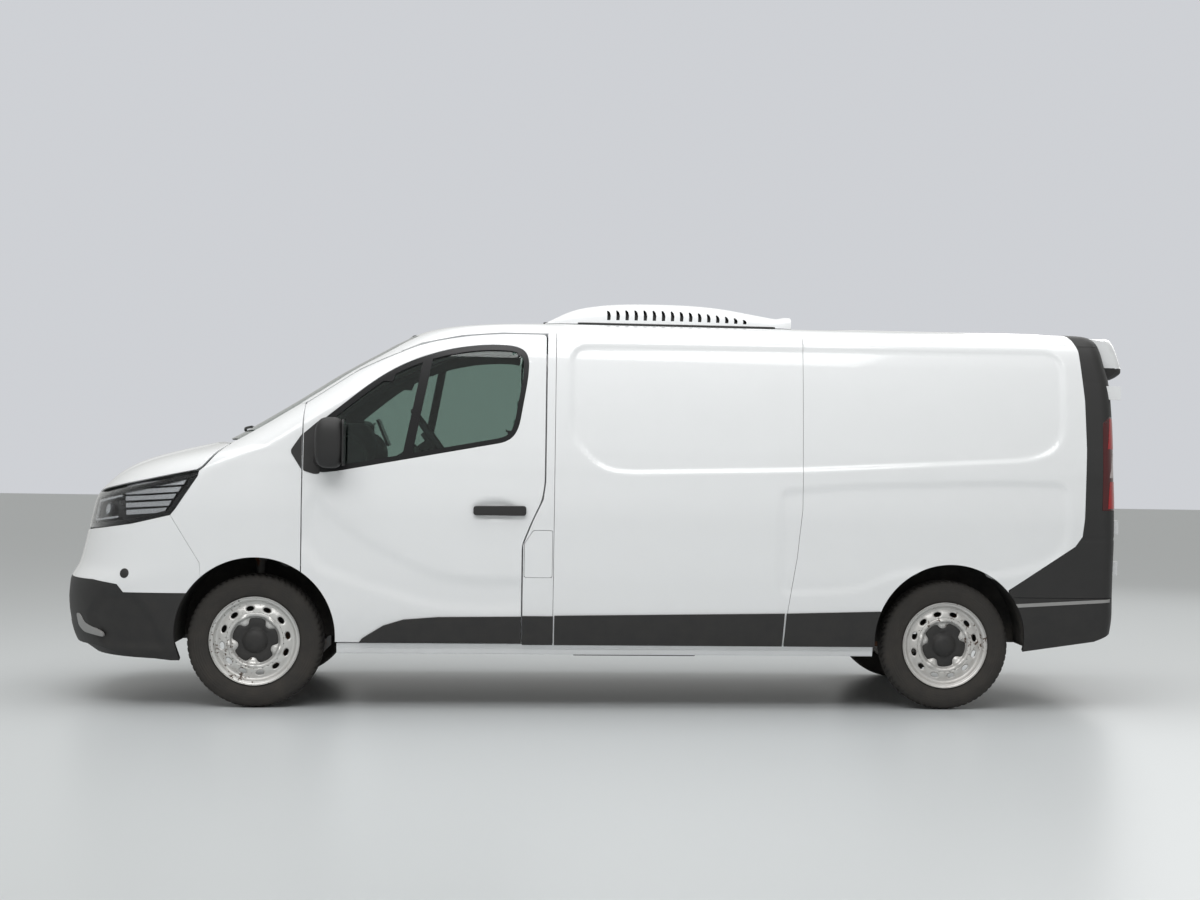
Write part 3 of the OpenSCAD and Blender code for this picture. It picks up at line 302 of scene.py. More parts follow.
# ---------------------------------------------------------------- pieces
def piece(name, body, finish, points, faces, replaces=(), solid=0.0, bevel=0.0, weld=False, sharp=40, turn=False, slot=None):
    """A mesh object with its finish, its body and the frame nodes that it stands for."""
    mesh = bpy.data.meshes.new(name)
    faces = faces if isinstance(faces, list) else faces.tolist()
    mesh.from_pydata(np.asarray(points, float).tolist(), [], faces)
    if weld or turn:
        bm = bmesh.new()
        bm.from_mesh(mesh)
        bmesh.ops.remove_doubles(bm, verts=bm.verts, dist=2e-5)
        if turn:
            bmesh.ops.recalc_face_normals(bm, faces=bm.faces)
        bm.to_mesh(mesh)
        bm.free()
    mesh.validate()
    mesh.shade_smooth()
    mesh.set_sharp_from_angle(angle=np.radians(sharp))
    mesh.materials.append(finish)
    obj = bpy.data.objects.new(name, mesh)
    bpy.context.scene.collection.objects.link(obj)
    if solid:
        wall = obj.modifiers.new("wall", "SOLIDIFY")
        wall.thickness, wall.offset, wall.use_quality_normals = solid, -1, True
    if bevel:
        edge = obj.modifiers.new("edge", "BEVEL")
        edge.width, edge.segments, edge.limit_method, edge.angle_limit = bevel, 2, "ANGLE", np.radians(55)
        edge.harden_normals = True
    if replaces:
        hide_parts(*replaces)
    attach(obj, body)
    return obj


def joined(parts):
    """Several (points, faces) as one."""
    points, faces, start = [], [], 0
    for p, f in parts:
        points.append(p)
        faces += (np.asarray(f) + start).tolist() if not isinstance(f, list) else [[k + start for k in g] for g in f]
        start += len(p)
    return np.concatenate(points), faces


def panel_mesh(outline, holes=(), sides="left", inset=0.0, step=0.018, press=None):
    """Part of the skin inside an outline on the sheet, set in along its normals, for the left, the right or both sides."""
    flat, tris = filled(outline, holes, step)
    p = skin(flat[:, 0], flat[:, 1])
    if press is not None:
        p = p - outward(flat[:, 0], flat[:, 1]) * (inset + press(p))[:, None]
    elif inset:
        p = p - outward(flat[:, 0], flat[:, 1]) * inset
    p[(flat[:, 0] < 1e-6) | (flat[:, 0] > SHEET - 1e-6) | (flat[:, 1] > CLIMB[-1] + CAP - 1e-6), 1] = 0
    left = (p * [1, -1, 1], tris)
    right = (p, tris[:, ::-1])
    return {"left": lambda: left, "right": lambda: right, "both": lambda: joined([left, right])}[sides]()


def panel(name, body, finish, outline, holes=(), sides="left", inset=0.0, solid=0.02, bevel=0.0018, step=0.018,
          press=None, replaces=()):
    points, faces = panel_mesh(outline, holes, sides, inset, step, press)
    return piece(name, body, finish, points, faces, replaces, solid, bevel, weld=True)


def smooth_path(points, n):
    """n points along a smooth curve through the given ones, cubic between neighbours."""
    p = np.asarray(points, float)
    full = np.concatenate([[2 * p[0] - p[1]], p, [2 * p[-1] - p[-2]]])
    t = np.linspace(0, len(p) - 1, n)
    k = np.minimum(t.astype(int), len(p) - 2)
    f = (t - k)[:, None]
    a, b, c, d = (full[k + j] for j in range(4))
    return 0.5 * (2 * b + (c - a) * f + (2 * a - 5 * b + 4 * c - d) * f ** 2 + (3 * b - a - 3 * c + d) * f ** 3)


def grid_faces(n, m, wrap_n=False, wrap_m=False):
    """Quads of an n by m grid of points, joined round where it wraps."""
    i, j = np.meshgrid(np.arange(n if wrap_n else n - 1), np.arange(m if wrap_m else m - 1), indexing="ij")
    i, j = i.ravel(), j.ravel()
    a, b = (i + 1) % n, (j + 1) % m
    return np.c_[i * m + j, a * m + j, a * m + b, i * m + b]


def swept(path, profile, up=(0, 0, 1), scale=None):
    """A closed profile carried along a path, with flat ends: at each point it stands square to the path."""
    path = np.asarray(path, float)
    along = np.gradient(path, axis=0)
    along /= np.linalg.norm(along, axis=1, keepdims=True)
    side = np.cross(along, np.asarray(up, float))
    side /= np.maximum(np.linalg.norm(side, axis=1, keepdims=True), 1e-9)
    over = np.cross(side, along)
    size = np.ones(len(path)) if scale is None else np.asarray(scale, float)
    profile = np.asarray(profile, float)
    p = (path[:, None] + (side[:, None] * profile[None, :, :1] + over[:, None] * profile[None, :, 1:]) * size[:, None, None])
    n, m = len(path), len(profile)
    faces = grid_faces(n, m, wrap_m=True).tolist() + [list(range(m - 1, -1, -1)), list(range((n - 1) * m, n * m))]
    return p.reshape(-1, 3), faces


def circle(r, n=16):
    t = np.linspace(0, 2 * np.pi, n, endpoint=False)
    return np.c_[r * np.cos(t), r * np.sin(t)]


def blob(centre, size, power=(2.6, 2.6), n=(40, 64), shape=None):
    """A closed power ellipsoid: each axis is a cosine or sine raised to a share, so that it is squarer than a ball."""
    u = np.linspace(-np.pi / 2, np.pi / 2, n[0])[:, None]
    t = np.linspace(0, 2 * np.pi, n[1], endpoint=False)[None, :]
    c = lambda w, p: np.sign(np.cos(w)) * np.abs(np.cos(w)) ** (2 / p)
    s = lambda w, p: np.sign(np.sin(w)) * np.abs(np.sin(w)) ** (2 / p)
    x = c(u, power[0]) * c(t, power[1])
    y = c(u, power[0]) * s(t, power[1])
    z = s(u, power[0]) * np.ones_like(t)
    p = np.stack([x, y, z], 2).reshape(-1, 3)
    if shape is not None:
        p = shape(p)
    return p * np.asarray(size) + np.asarray(centre), grid_faces(*n, wrap_m=True)


def lathe(profile, n=96, ripple=None):
    """A profile of radius and width turned about the Y axis. Width is measured towards -Y."""
    t = np.linspace(0, 2 * np.pi, n, endpoint=False)[:, None]
    r, w = (np.asarray(profile, float)[:, k][None, :] * np.ones_like(t) for k in (0, 1))
    if ripple is not None:
        r, w = ripple(t, r, w)
    p = np.stack([r * np.cos(t), -w, r * np.sin(t)], 2).reshape(-1, 3)
    return p, grid_faces(n, r.shape[1], wrap_n=True)


def node_group(name, inputs, outputs):
    group = bpy.data.node_groups.new(name, "ShaderNodeTree")
    for direction, sockets in (("INPUT", inputs), ("OUTPUT", outputs)):
        for label, kind, *value in sockets:
            socket = group.interface.new_socket(name=label, in_out=direction, socket_type="NodeSocket" + kind)
            if value:
                socket.default_value = value[0]
    return group, group.nodes.new("NodeGroupInput"), group.nodes.new("NodeGroupOutput")


def add(tree, kind, links=(), **settings):
    """A node with its settings, and its inputs given as a value or as another node's output."""
    node = tree.nodes.new("ShaderNode" + kind)
    for key, value in settings.items():
        setattr(node, key, value)
    for socket, value in dict(links).items():
        if isinstance(value, bpy.types.NodeSocket):
            tree.links.new(value, node.inputs[socket])
        else:
            node.inputs[socket].default_value = value
    return node


def make_speckle_group():
    """Two layers of noise, pushed to a mask: scattered spots of a size and an amount."""
    tree, src, out = node_group("speckle", [("Scale", "Float", 20.0), ("Amount", "Float", 0.4), ("Softness", "Float", 0.1)],
                                [("Mask", "Float")])
    place = add(tree, "TexCoord").outputs["Object"]
    fine = add(tree, "TexNoise", {"Vector": place, "Scale": src.outputs["Scale"], "Detail": 6.0, "Roughness": 0.65})
    wide = add(tree, "TexNoise", {"Vector": place, "Scale": 2.3, "Detail": 2.0})
    both = add(tree, "Math", {0: fine.outputs["Fac"], 1: wide.outputs["Fac"]}, operation="ADD")
    level = add(tree, "Math", {0: 1.36, 1: src.outputs["Amount"]}, operation="SUBTRACT")
    top = add(tree, "Math", {0: level.outputs[0], 1: src.outputs["Softness"]}, operation="ADD")
    mask = add(tree, "MapRange", {"Value": both.outputs[0], "From Min": level.outputs[0], "From Max": top.outputs[0]})
    tree.links.new(mask.outputs[0], out.inputs["Mask"])
    return tree


def make_dust_group():
    """Dust that thickens downwards between two heights, broken up by noise."""
    tree, src, out = node_group("road_dust", [("Low", "Float", 0.2), ("High", "Float", 0.9), ("Amount", "Float", 0.5),
                                              ("Scale", "Float", 9.0)], [("Mask", "Float")])
    place = add(tree, "TexCoord").outputs["Object"]
    height = add(tree, "SeparateXYZ", {0: place}).outputs["Z"]
    fall = add(tree, "MapRange", {"Value": height, "From Min": src.outputs["High"], "From Max": src.outputs["Low"]})
    cloud = add(tree, "TexNoise", {"Vector": place, "Scale": src.outputs["Scale"], "Detail": 5.0, "Roughness": 0.6})
    soft = add(tree, "MapRange", {"Value": cloud.outputs["Fac"], "From Min": 0.3, "From Max": 0.75})
    shade = add(tree, "Math", {0: fall.outputs[0], 1: soft.outputs[0]}, operation="MULTIPLY")
    mask = add(tree, "Math", {0: shade.outputs[0], 1: src.outputs["Amount"]}, operation="MULTIPLY")
    tree.links.new(mask.outputs[0], out.inputs["Mask"])
    return tree


def make_grain_group():
    """A moulded or sprayed surface: small cells or fine noise, as a bumped normal."""
    tree, src, out = node_group("grain", [("Scale", "Float", 400.0), ("Strength", "Float", 0.2), ("Depth", "Float", 0.0004)],
                                [("Normal", "Vector"), ("Cells", "Float")])
    place = add(tree, "TexCoord").outputs["Object"]
    cells = add(tree, "TexVoronoi", {"Vector": place, "Scale": src.outputs["Scale"]})
    fine = add(tree, "TexNoise", {"Vector": place, "Scale": src.outputs["Scale"], "Detail": 3.0})
    mix = add(tree, "Math", {0: cells.outputs["Distance"], 1: fine.outputs["Fac"]}, operation="ADD")
    bump = add(tree, "Bump", {"Height": mix.outputs[0], "Strength": src.outputs["Strength"], "Distance": src.outputs["Depth"]})
    tree.links.new(bump.outputs[0], out.inputs["Normal"])
    tree.links.new(mix.outputs[0], out.inputs["Cells"])
    return tree


SPECKLE, DUST, GRAIN = make_speckle_group(), make_dust_group(), make_grain_group()


def grouped(tree, group, **values):
    node = tree.nodes.new("ShaderNodeGroup")
    node.node_tree = group
    for key, value in values.items():
        node.inputs[key].default_value = value
    return node


def finish(name, slot, color, rough, metallic=0.0, grain=None, dust=None, dust_color=(0.30, 0.26, 0.21), spots=None,
           spots_color=(0.16, 0.06, 0.025), vary=0.06, coat=0.0, **plain):
    """A painted, moulded or cast surface: its colour varies a little, spots and dust lie over it, and grain bumps it."""
    mat = bpy.data.materials.new(name)
    mat.use_nodes = True
    tree = mat.node_tree
    shader = tree.nodes["Principled BSDF"]
    shader.inputs["Metallic"].default_value = metallic
    shader.inputs["Coat Weight"].default_value = coat
    shader.inputs["Coat Roughness"].default_value = 0.06
    for key, value in plain.items():
        shader.inputs[key.replace("_", " ").title().replace("Ior", "IOR")].default_value = value
    place = add(tree, "TexCoord").outputs["Object"]
    cloud = add(tree, "TexNoise", {"Vector": place, "Scale": 6.0, "Detail": 4.0}).outputs["Fac"]
    dark = tuple(c * (1 - vary) for c in color) + (1,)
    light = tuple(min(1, c * (1 + vary)) for c in color) + (1,)
    shade = add(tree, "Mix", {6: dark, 7: light, 0: cloud}, data_type="RGBA")
    surface = shade.outputs[2]
    roughness = add(tree, "MapRange", {"Value": cloud, "To Min": max(0.02, rough * 0.85), "To Max": min(1, rough * 1.15)}).outputs[0]
    if spots:
        mask = grouped(tree, SPECKLE, **spots).outputs["Mask"]
        surface = add(tree, "Mix", {0: mask, 6: surface, 7: (*spots_color, 1)}, data_type="RGBA").outputs[2]
        roughness = add(tree, "Mix", {0: mask, 2: roughness, 3: 0.85}, data_type="FLOAT").outputs[0]
    if dust:
        mask = grouped(tree, DUST, **dust).outputs["Mask"]
        surface = add(tree, "Mix", {0: mask, 6: surface, 7: (*dust_color, 1)}, data_type="RGBA").outputs[2]
        roughness = add(tree, "Mix", {0: mask, 2: roughness, 3: 0.9}, data_type="FLOAT").outputs[0]
    tree.links.new(surface, shader.inputs["Base Color"])
    tree.links.new(roughness, shader.inputs["Roughness"])
    if grain:
        tree.links.new(grouped(tree, GRAIN, **grain).outputs["Normal"], shader.inputs["Normal"])
    return mat


def clear(name, color, rough=0.02, ior=1.45):
    """Tinted glass or a clear lamp cover."""
    mat = bpy.data.materials.new(name)
    mat.use_nodes = True
    shader = mat.node_tree.nodes["Principled BSDF"]
    shader.inputs["Base Color"].default_value = (*color, 1)
    shader.inputs["Roughness"].default_value = rough
    shader.inputs["Transmission Weight"].default_value = 1.0
    shader.inputs["IOR"].default_value = ior
    return mat


PAINT = finish("white_paint", "white_paint", (0.78, 0.79, 0.80), 0.34, vary=0.012, coat=0.9,
               dust=dict(Low=0.25, High=0.75, Amount=0.10, Scale=6.0), grain=dict(Scale=900.0, Strength=0.03, Depth=0.0001))
UNIT_SHELL = finish("unit_shell", "unit_shell", (0.80, 0.81, 0.82), 0.38, vary=0.02, coat=0.3,
                    grain=dict(Scale=300.0, Strength=0.04, Depth=0.0003))
PLASTIC = finish("black_plastic", "black_plastic", (0.017, 0.0165, 0.0165), 0.58, vary=0.18,
                 grain=dict(Scale=420.0, Strength=0.35, Depth=0.0005),
                 dust=dict(Low=0.2, High=0.8, Amount=0.16, Scale=14.0), dust_color=(0.10, 0.088, 0.075))
GLOSS = finish("gloss_black", "gloss_black", (0.008, 0.008, 0.009), 0.28, vary=0.1, specular_ior_level=0.35)
LINING = finish("lining", "lining", (0.62, 0.63, 0.64), 0.5, vary=0.04, grain=dict(Scale=120.0, Strength=0.08, Depth=0.001))
CAB = finish("cab_plastic", "cab_plastic", (0.035, 0.036, 0.04), 0.62, vary=0.1, grain=dict(Scale=500.0, Strength=0.3, Depth=0.0004))
CLOTH = finish("seat_fabric", "seat_fabric", (0.045, 0.047, 0.052), 0.92, vary=0.25, grain=dict(Scale=700.0, Strength=0.5, Depth=0.0008),
               sheen_weight=0.35)
STEEL = finish("chassis_steel", "chassis_steel", (0.045, 0.045, 0.047), 0.6, vary=0.2, spots=dict(Scale=18.0, Amount=0.34, Softness=0.12),
               dust=dict(Low=0.1, High=0.6, Amount=0.35, Scale=10.0))
FLOOR_METAL = finish("floor_panel", "floor_panel", (0.22, 0.22, 0.22), 0.5, metallic=0.4, vary=0.12,
                     dust=dict(Low=0.3, High=0.6, Amount=0.4, Scale=10.0))
LINER = finish("arch_liner", "arch_liner", (0.018, 0.018, 0.018), 0.85, vary=0.2, grain=dict(Scale=200.0, Strength=0.5, Depth=0.001),
               dust=dict(Low=0.1, High=0.9, Amount=0.3, Scale=12.0))
ENGINE = finish("engine_metal", "engine_metal", (0.20, 0.20, 0.21), 0.5, metallic=0.7, vary=0.2, spots=dict(Scale=14.0, Amount=0.34, Softness=0.2),
                spots_color=(0.05, 0.045, 0.04))
CAST = finish("cast_metal", "cast_metal", (0.12, 0.115, 0.11), 0.6, metallic=0.5, vary=0.2, grain=dict(Scale=240.0, Strength=0.5, Depth=0.0006),
              spots=dict(Scale=22.0, Amount=0.42, Softness=0.12))
EXHAUST = finish("exhaust_steel", "exhaust_steel", (0.25, 0.23, 0.21), 0.45, metallic=0.8, vary=0.25, spots=dict(Scale=20.0, Amount=0.45, Softness=0.15))
RUBBER = finish("tyre_rubber", "tyre_rubber", (0.026, 0.024, 0.022), 0.88, vary=0.28, grain=dict(Scale=600.0, Strength=0.3, Depth=0.0004),
                dust=dict(Low=0.0, High=1.4, Amount=0.28, Scale=12.0), dust_color=(0.085, 0.070, 0.056))
RIM_FRONT = finish("rim_paint_front", "wheel_steel", (0.64, 0.635, 0.62), 0.32, metallic=0.5, vary=0.08, spots_color=(0.075, 0.045, 0.03),
                   spots=dict(Scale=60.0, Amount=0.20, Softness=0.06), dust=dict(Low=0.0, High=0.9, Amount=0.22, Scale=22.0))
RIM_REAR = finish("rim_paint_rear", "wheel_steel", (0.62, 0.61, 0.595), 0.36, metallic=0.5, vary=0.10, spots_color=(0.085, 0.045, 0.028),
                  spots=dict(Scale=48.0, Amount=0.26, Softness=0.06), dust=dict(Low=0.0, High=0.9, Amount=0.32, Scale=22.0))
SILVER = finish("lamp_silver", "lamp_glass", (0.55, 0.56, 0.58), 0.22, metallic=0.9, vary=0.05)
DARK_SILVER = finish("lamp_dark", "lamp_glass", (0.10, 0.105, 0.11), 0.3, metallic=0.6, vary=0.1)
STRIP = finish("bumper_strip", "black_plastic", (0.32, 0.315, 0.31), 0.45, metallic=0.3, vary=0.06)
RED = finish("red_lens", "red_lamp", (0.36, 0.004, 0.006), 0.30, vary=0.15, coat=0.25)
DEEP_RED = finish("deep_red_lens", "red_lamp", (0.060, 0.002, 0.003), 0.30, vary=0.2, coat=0.25)
WHITE_LENS = finish("white_lens", "red_lamp", (0.40, 0.34, 0.34), 0.25, vary=0.06, coat=0.3)
MIRROR = finish("mirror_face", "gloss_black", (0.85, 0.86, 0.87), 0.03, metallic=1.0, vary=0.01)
GLASS = clear("tinted_glass", (0.44, 0.55, 0.51))
SCREEN = clear("windscreen_glass", (0.52, 0.62, 0.59))
LENS = clear("lamp_cover", (0.93, 0.94, 0.95), 0.01, 1.22)

# ---------------------------------------------------------------- outlines shared by the panels
DOOR = np.array([
    [FRONT_ARCH + 0.300, SILL + SHUT], [DOOR_FOOT, SILL + SHUT], [DOOR_FOOT, 0.833], [DOOR_REAR - 0.060, 0.959],
    [DOOR_REAR - 0.012, 1.060], [DOOR_REAR, 1.150], [DOOR_REAR, ROOF_LINE - SHUT], [DOOR_FRONT + 0.972, ROOF_LINE - SHUT],
    [DOOR_FRONT + 0.774, 1.880], [DOOR_FRONT + 0.576, 1.838], [DOOR_FRONT + 0.380, 1.756],
    *[[pillar_of(z), z] for z in (1.700, 1.650, 1.600, 1.565, 1.530)], [DOOR_FRONT, 1.520], [DOOR_FRONT, 0.500]])


def arch(x, a0, a1, r=ARCH_R, n=40):
    """Part of a wheel arch's edge, from one angle to another."""
    t = np.radians(np.linspace(a0, a1, n))
    return np.c_[x + r * np.cos(t), ARCH_TOP + r * np.sin(t)]


def door_outline():
    """The door's outline with its round rear top corner, cut by the wheel arch at the front of its foot."""
    foot = np.degrees(np.arccos((DOOR_FRONT - FRONT_ARCH) / ARCH_R))
    curve = arch(FRONT_ARCH, foot, np.degrees(np.arcsin((SILL + SHUT - ARCH_TOP) / ARCH_R)))
    loop = np.concatenate([DOOR[1:-1], [[DOOR_FRONT, 0.750]]])
    body = rounded(loop, [0, 0.03, 0.05, 0.04, 0.03, 0.022, 0.09, 0.08, 0.08, 0.05, 0.03, 0.03, 0.03, 0.03, 0.01, 0.008, 0])
    return np.concatenate([body, curve])


WINDOW = rounded(np.array([
    [DOOR_FRONT + 0.022, 1.385], [DOOR_FRONT + 0.022, 1.205], [DOOR_FRONT + 0.080, 1.180], [DOOR_FRONT + 0.180, 1.192],
    [DOOR_REAR - 0.185, 1.350], [DOOR_REAR - 0.135, 1.407], [DOOR_REAR - 0.085, 1.700], [DOOR_REAR - 0.090, 1.800],
    [DOOR_REAR - 0.150, 1.838], [DOOR_REAR - 0.320, 1.842], [DOOR_REAR - 0.520, 1.808], [DOOR_REAR - 0.720, 1.733],
    [DOOR_REAR - 0.865, 1.641], [DOOR_REAR - 1.025, 1.508]]), [0.02, 0.02, 0.04, 0.05, 0.05, 0.06, 0.1, 0.05, 0.06, 0.1, 0.1, 0.1, 0.1, 0.1])
MID = [[MID_SEAM - 0.087, SILL], [MID_SEAM - 0.067, 0.523], [MID_SEAM - 0.026, 0.777], [MID_SEAM, 1.030], [MID_SEAM, ROOF_LINE - SEAM]]
TRIM_EDGE = [[TRIM - 0.037, ROOF_LINE - SEAM], [TRIM - 0.026, 1.874], [TRIM, 1.617], [TRIM + 0.006, 1.361], [TRIM - 0.005, 1.001],
             [TRIM - 0.016, 0.909], [TRIM - 0.053, 0.857], [REAR_ARCH + 0.300, 0.627]]
RECESS = rounded([[-0.169, 1.845], [2.372, 1.866], [2.372, 1.400], [2.240, 1.305], [1.011, 1.233], [0.103, 1.207], [-0.010, 1.225], [-0.169, 1.370]],
                 [0.09, 0.11, 0.10, 0.14, 0.2, 0.10, 0.08, 0.10], 8)
LOW_RECESS = rounded([[0.90, 1.118], [1.254, 1.151], [2.039, 1.179], [2.385, 1.176], [2.400, 0.860], [2.290, 0.765], [1.986, 0.687], [1.560, 0.735], [1.30, 0.62], [0.90, 0.60]],
                     [0.05, 0.1, 0.1, 0.06, 0.1, 0.1, 0.2, 0.15, 0.1, 0.05], 8)
SWOOSH = smooth_path([[-1.52, 0.86], [-1.44, 1.05], [-1.36, 0.98], [-1.20, 0.86], [-1.00, 0.75], [-0.80, 0.675], [-0.60, 0.648], [-0.405, 0.640],
                      [-0.405, 0.520], [-0.80, 0.520], [-1.10, 0.60], [-1.40, 0.70]], 70)


def step_in(p, loop, deep, width):
    """How far a pressing lies in: a smooth step across the edge of its loop."""
    flat = p[:, [0, 2]]
    d = distance(flat, loop) * np.where(inside(flat, loop), 1, -1)
    t = np.clip(d / width + 0.5, 0, 1)
    return deep * t * t * (3 - 2 * t)


def side_press(p):
    return step_in(p, RECESS, 0.009, 0.026) + step_in(p, LOW_RECESS, 0.006, 0.030)


def door_press(p):
    """The swept hollow of the door's foot, and the bowl behind the pull handle."""
    bowl = np.hypot((p[:, 0] - DOOR_REAR + 0.245) / 0.105, (p[:, 2] - 1.008) / 0.046)
    return step_in(p, SWOOSH, 0.008, 0.07) + 0.014 * np.clip((1.1 - bowl) / 0.35, 0, 1)


def spread(points, step=0.014):
    return from_side(dense(points, step))


# ---------------------------------------------------------------- fixed sides
side_outline = [[B_PILLAR + SEAM, ROOF_LINE - SEAM], [B_PILLAR + SEAM, SILL], *[[x - SEAM, z] for x, z in MID]]
panel("left_side_skin", "root", PAINT, spread(side_outline), press=side_press, solid=0.05, replaces=["left_side_panel"])
slide_outline = [[B_PILLAR + SHUT, ROOF_LINE - SEAM], [B_PILLAR + SHUT, SILL], *[[x - SHUT, z] for x, z in MID]]
panel("sliding_door_skin", "root", PAINT, spread(slide_outline), sides="right", press=side_press, solid=0.05, replaces=["sliding_door"])
quarter = np.concatenate([
    np.array([[x + SEAM, z] for x, z in MID[::-1]]),
    arch(REAR_ARCH, 180 + np.degrees(np.arcsin((ARCH_TOP - SILL) / ARCH_R)), np.degrees(np.arccos(0.300 / ARCH_R)), n=60)[1:],
    np.array([[x - SEAM, z] for x, z in TRIM_EDGE[::-1]])])
for side in ("left", "right"):
    panel(f"{side}_quarter_skin", "root", PAINT, spread(quarter), sides=side, press=side_press, solid=0.05, replaces=[f"{side}_quarter_panel"])
pillar = [[DOOR_FOOT + SHUT, SILL], [B_PILLAR - SEAM, SILL], [B_PILLAR - SEAM, ROOF_LINE - SEAM], [DOOR_REAR + SHUT, ROOF_LINE - SEAM],
          [DOOR_REAR + SHUT, 1.150], [DOOR_REAR - 0.012 + SHUT, 1.060], [DOOR_REAR - 0.060 + SHUT, 0.959], [DOOR_FOOT + SHUT, 0.833]]
flap = [[DOOR_FOOT + 0.012, 0.668], [DOOR_FOOT + 0.154, 0.668], [DOOR_FOOT + 0.154, 0.908], [DOOR_FOOT + 0.056, 0.908], [DOOR_FOOT + 0.012, 0.840]]
flap_hole = spread(rounded(flap, 0.012), 0.01)
panel("left_b_pillar", "root", PAINT, spread(pillar), [flap_hole], solid=0.04, replaces=["b_pillars"])
panel("right_b_pillar", "root", PAINT, spread(pillar), sides="right", solid=0.04, replaces=["b_pillars"])
panel("fuel_flap", "root", PAINT, spread(rounded(grown(flap, -0.002), 0.012), 0.01), solid=0.02)

# ---------------------------------------------------------------- roof
header = 1.885
door_roof = [[DOOR_REAR - 0.05, ROOF_LINE], [DOOR_FRONT + 0.972, ROOF_LINE], [DOOR_FRONT + 0.774, 1.8865], [DOOR_FRONT + 0.574, 1.845],
             [DOOR_FRONT + 0.377, 1.7625]]
top_q = CLIMB[-1] + CAP
low = [p for p in open_line([[2.630, ROOF_LINE], *door_roof], 0.02).tolist() if p[1] >= 1.8 - 1e-9]
climb = [[screen_edge(z) + SEAM, z] for z in np.linspace(1.8, header, 10)]
edge = from_side(np.array(low + climb))
start = np.array([[SHEET, climb_at(ROOF_LINE)]])
front_edge = from_front(np.c_[np.linspace(float(skin(edge[-1:, 0], edge[-1:, 1])[0, 1]), 0, 40)[1:], np.full(39, header)])
front_edge[-1, 0] = 0
up = np.c_[np.zeros(24), np.linspace(climb_at(header), top_q, 25)[1:]]
over = np.c_[np.linspace(0, SHEET, 160)[1:], np.full(159, top_q)]
down = np.c_[np.full(24, SHEET), np.linspace(top_q, climb_at(ROOF_LINE), 25)[1:]][:-1]
roof_outline = np.concatenate([start, edge, front_edge, up, over, down])


def roof_ribs(p):
    """Two long shallow ribs pressed up along the roof."""
    y = np.abs(p[:, 1])
    rib = np.exp(-((y - 0.30) / 0.03) ** 2) + np.exp(-((y - 0.58) / 0.03) ** 2)
    fade = np.clip((p[:, 0] - 1.15) / 0.15, 0, 1) * np.clip((2.40 - p[:, 0]) / 0.15, 0, 1)
    return -0.006 * rib * fade


panel("roof_skin", "root", PAINT, roof_outline, sides="both", step=0.026, solid=0.03, press=roof_ribs, replaces=["roof"])

# ---------------------------------------------------------------- windscreen and its pillars
screen_z = np.linspace(1.3456, header - SEAM, 40)
a_side = from_side(np.c_[screen_edge(screen_z) - 0.002, screen_z])
a_top = np.c_[np.linspace(a_side[-1, 0], 0, 40)[1:], np.full(39, a_side[-1, 1])]
a_mid = np.c_[np.zeros(40), np.linspace(a_side[-1, 1], a_side[0, 1], 42)[1:-1]]
a_low = np.c_[np.linspace(0, a_side[0, 0], 40)[:-1], np.full(39, a_side[0, 1])]
screen = np.concatenate([a_side, a_top, a_mid, a_low])
panel("windscreen_pane", "root", SCREEN, screen, sides="both", inset=0.003, solid=0.005, step=0.03, replaces=["windscreen"])
band = np.concatenate([a_side, a_top, [[0, a_side[-1, 1] - 0.03]], np.c_[np.linspace(0, a_side[-1, 0] - 0.03, 30)[1:], np.full(29, a_side[-1, 1] - 0.03)],
                       (a_side - [0.03, 0])[::-1][3:-3], np.c_[np.linspace(a_side[0, 0] - 0.03, 0, 30), np.full(30, a_side[0, 1] + 0.05)],
                       [[0, a_side[0, 1]]], a_low[1:]])
panel("windscreen_border", "root", GLOSS, band, sides="both", inset=0.0095, solid=0.002, bevel=0, step=0.02)
top_join = [[DOOR_FRONT + 0.470, 1.7994], [DOOR_FRONT + 0.377, 1.7625]]
a_pillar = np.array([*[[screen_edge(z) + SEAM, z] for z in np.linspace(1.5276, 1.7994, 16)], *top_join,
                     *[[pillar_of(z) - 0.005, z + 0.0066] for z in np.linspace(1.700, 1.5285, 12)]])
panel("windscreen_pillars", "root", PAINT, spread(a_pillar), sides="both", solid=0.03, step=0.012)

# ---------------------------------------------------------------- wings, bonnet and bumper
wing_front = [[NOSE + 0.880, 1.325], [NOSE + 0.825, 1.270], [NOSE + 0.768, 1.200], [NOSE + 0.744, 1.180], [NOSE + 0.739, 1.155],
              [NOSE + 0.634, 0.991], [NOSE + 0.610, 0.961], [NOSE + 0.753, 0.727]]
hit = np.degrees(np.arccos((NOSE + 0.753 - FRONT_ARCH + 0.004) / ARCH_R))
start_angle = np.degrees(np.arccos((DOOR_FRONT - 0.0045 - FRONT_ARCH) / ARCH_R))
wing = np.array([[DOOR_FRONT - 0.0045, 1.527], [screen_edge(1.527) + SEAM, 1.527], [screen_edge(1.43) + SEAM, 1.43],
                 [screen_edge(1.345) + SEAM, 1.345], *wing_front, *arch(FRONT_ARCH, hit, start_angle, n=50)])
panel("wing_skins", "root", PAINT, spread(wing), sides="both", solid=0.02, replaces=["front_wings"])
BONNET_SIDE = [[NOSE + 0.863, 1.318], [NOSE + 0.814, 1.275], [NOSE + 0.757, 1.205], [NOSE + 0.733, 1.189], [NOSE + 0.377, 1.115],
               [NOSE + 0.225, 1.080]]


def bonnet_press(p):
    """A raised middle with a soft crease on each side."""
    t = np.clip((0.52 - np.abs(p[:, 1])) / 0.10, 0, 1)
    fade = np.clip((p[:, 0] + 2.55) / 0.2, 0, 1) * np.clip((-1.93 - p[:, 0]) / 0.1, 0, 1)
    return -0.008 * t * t * (3 - 2 * t) * fade


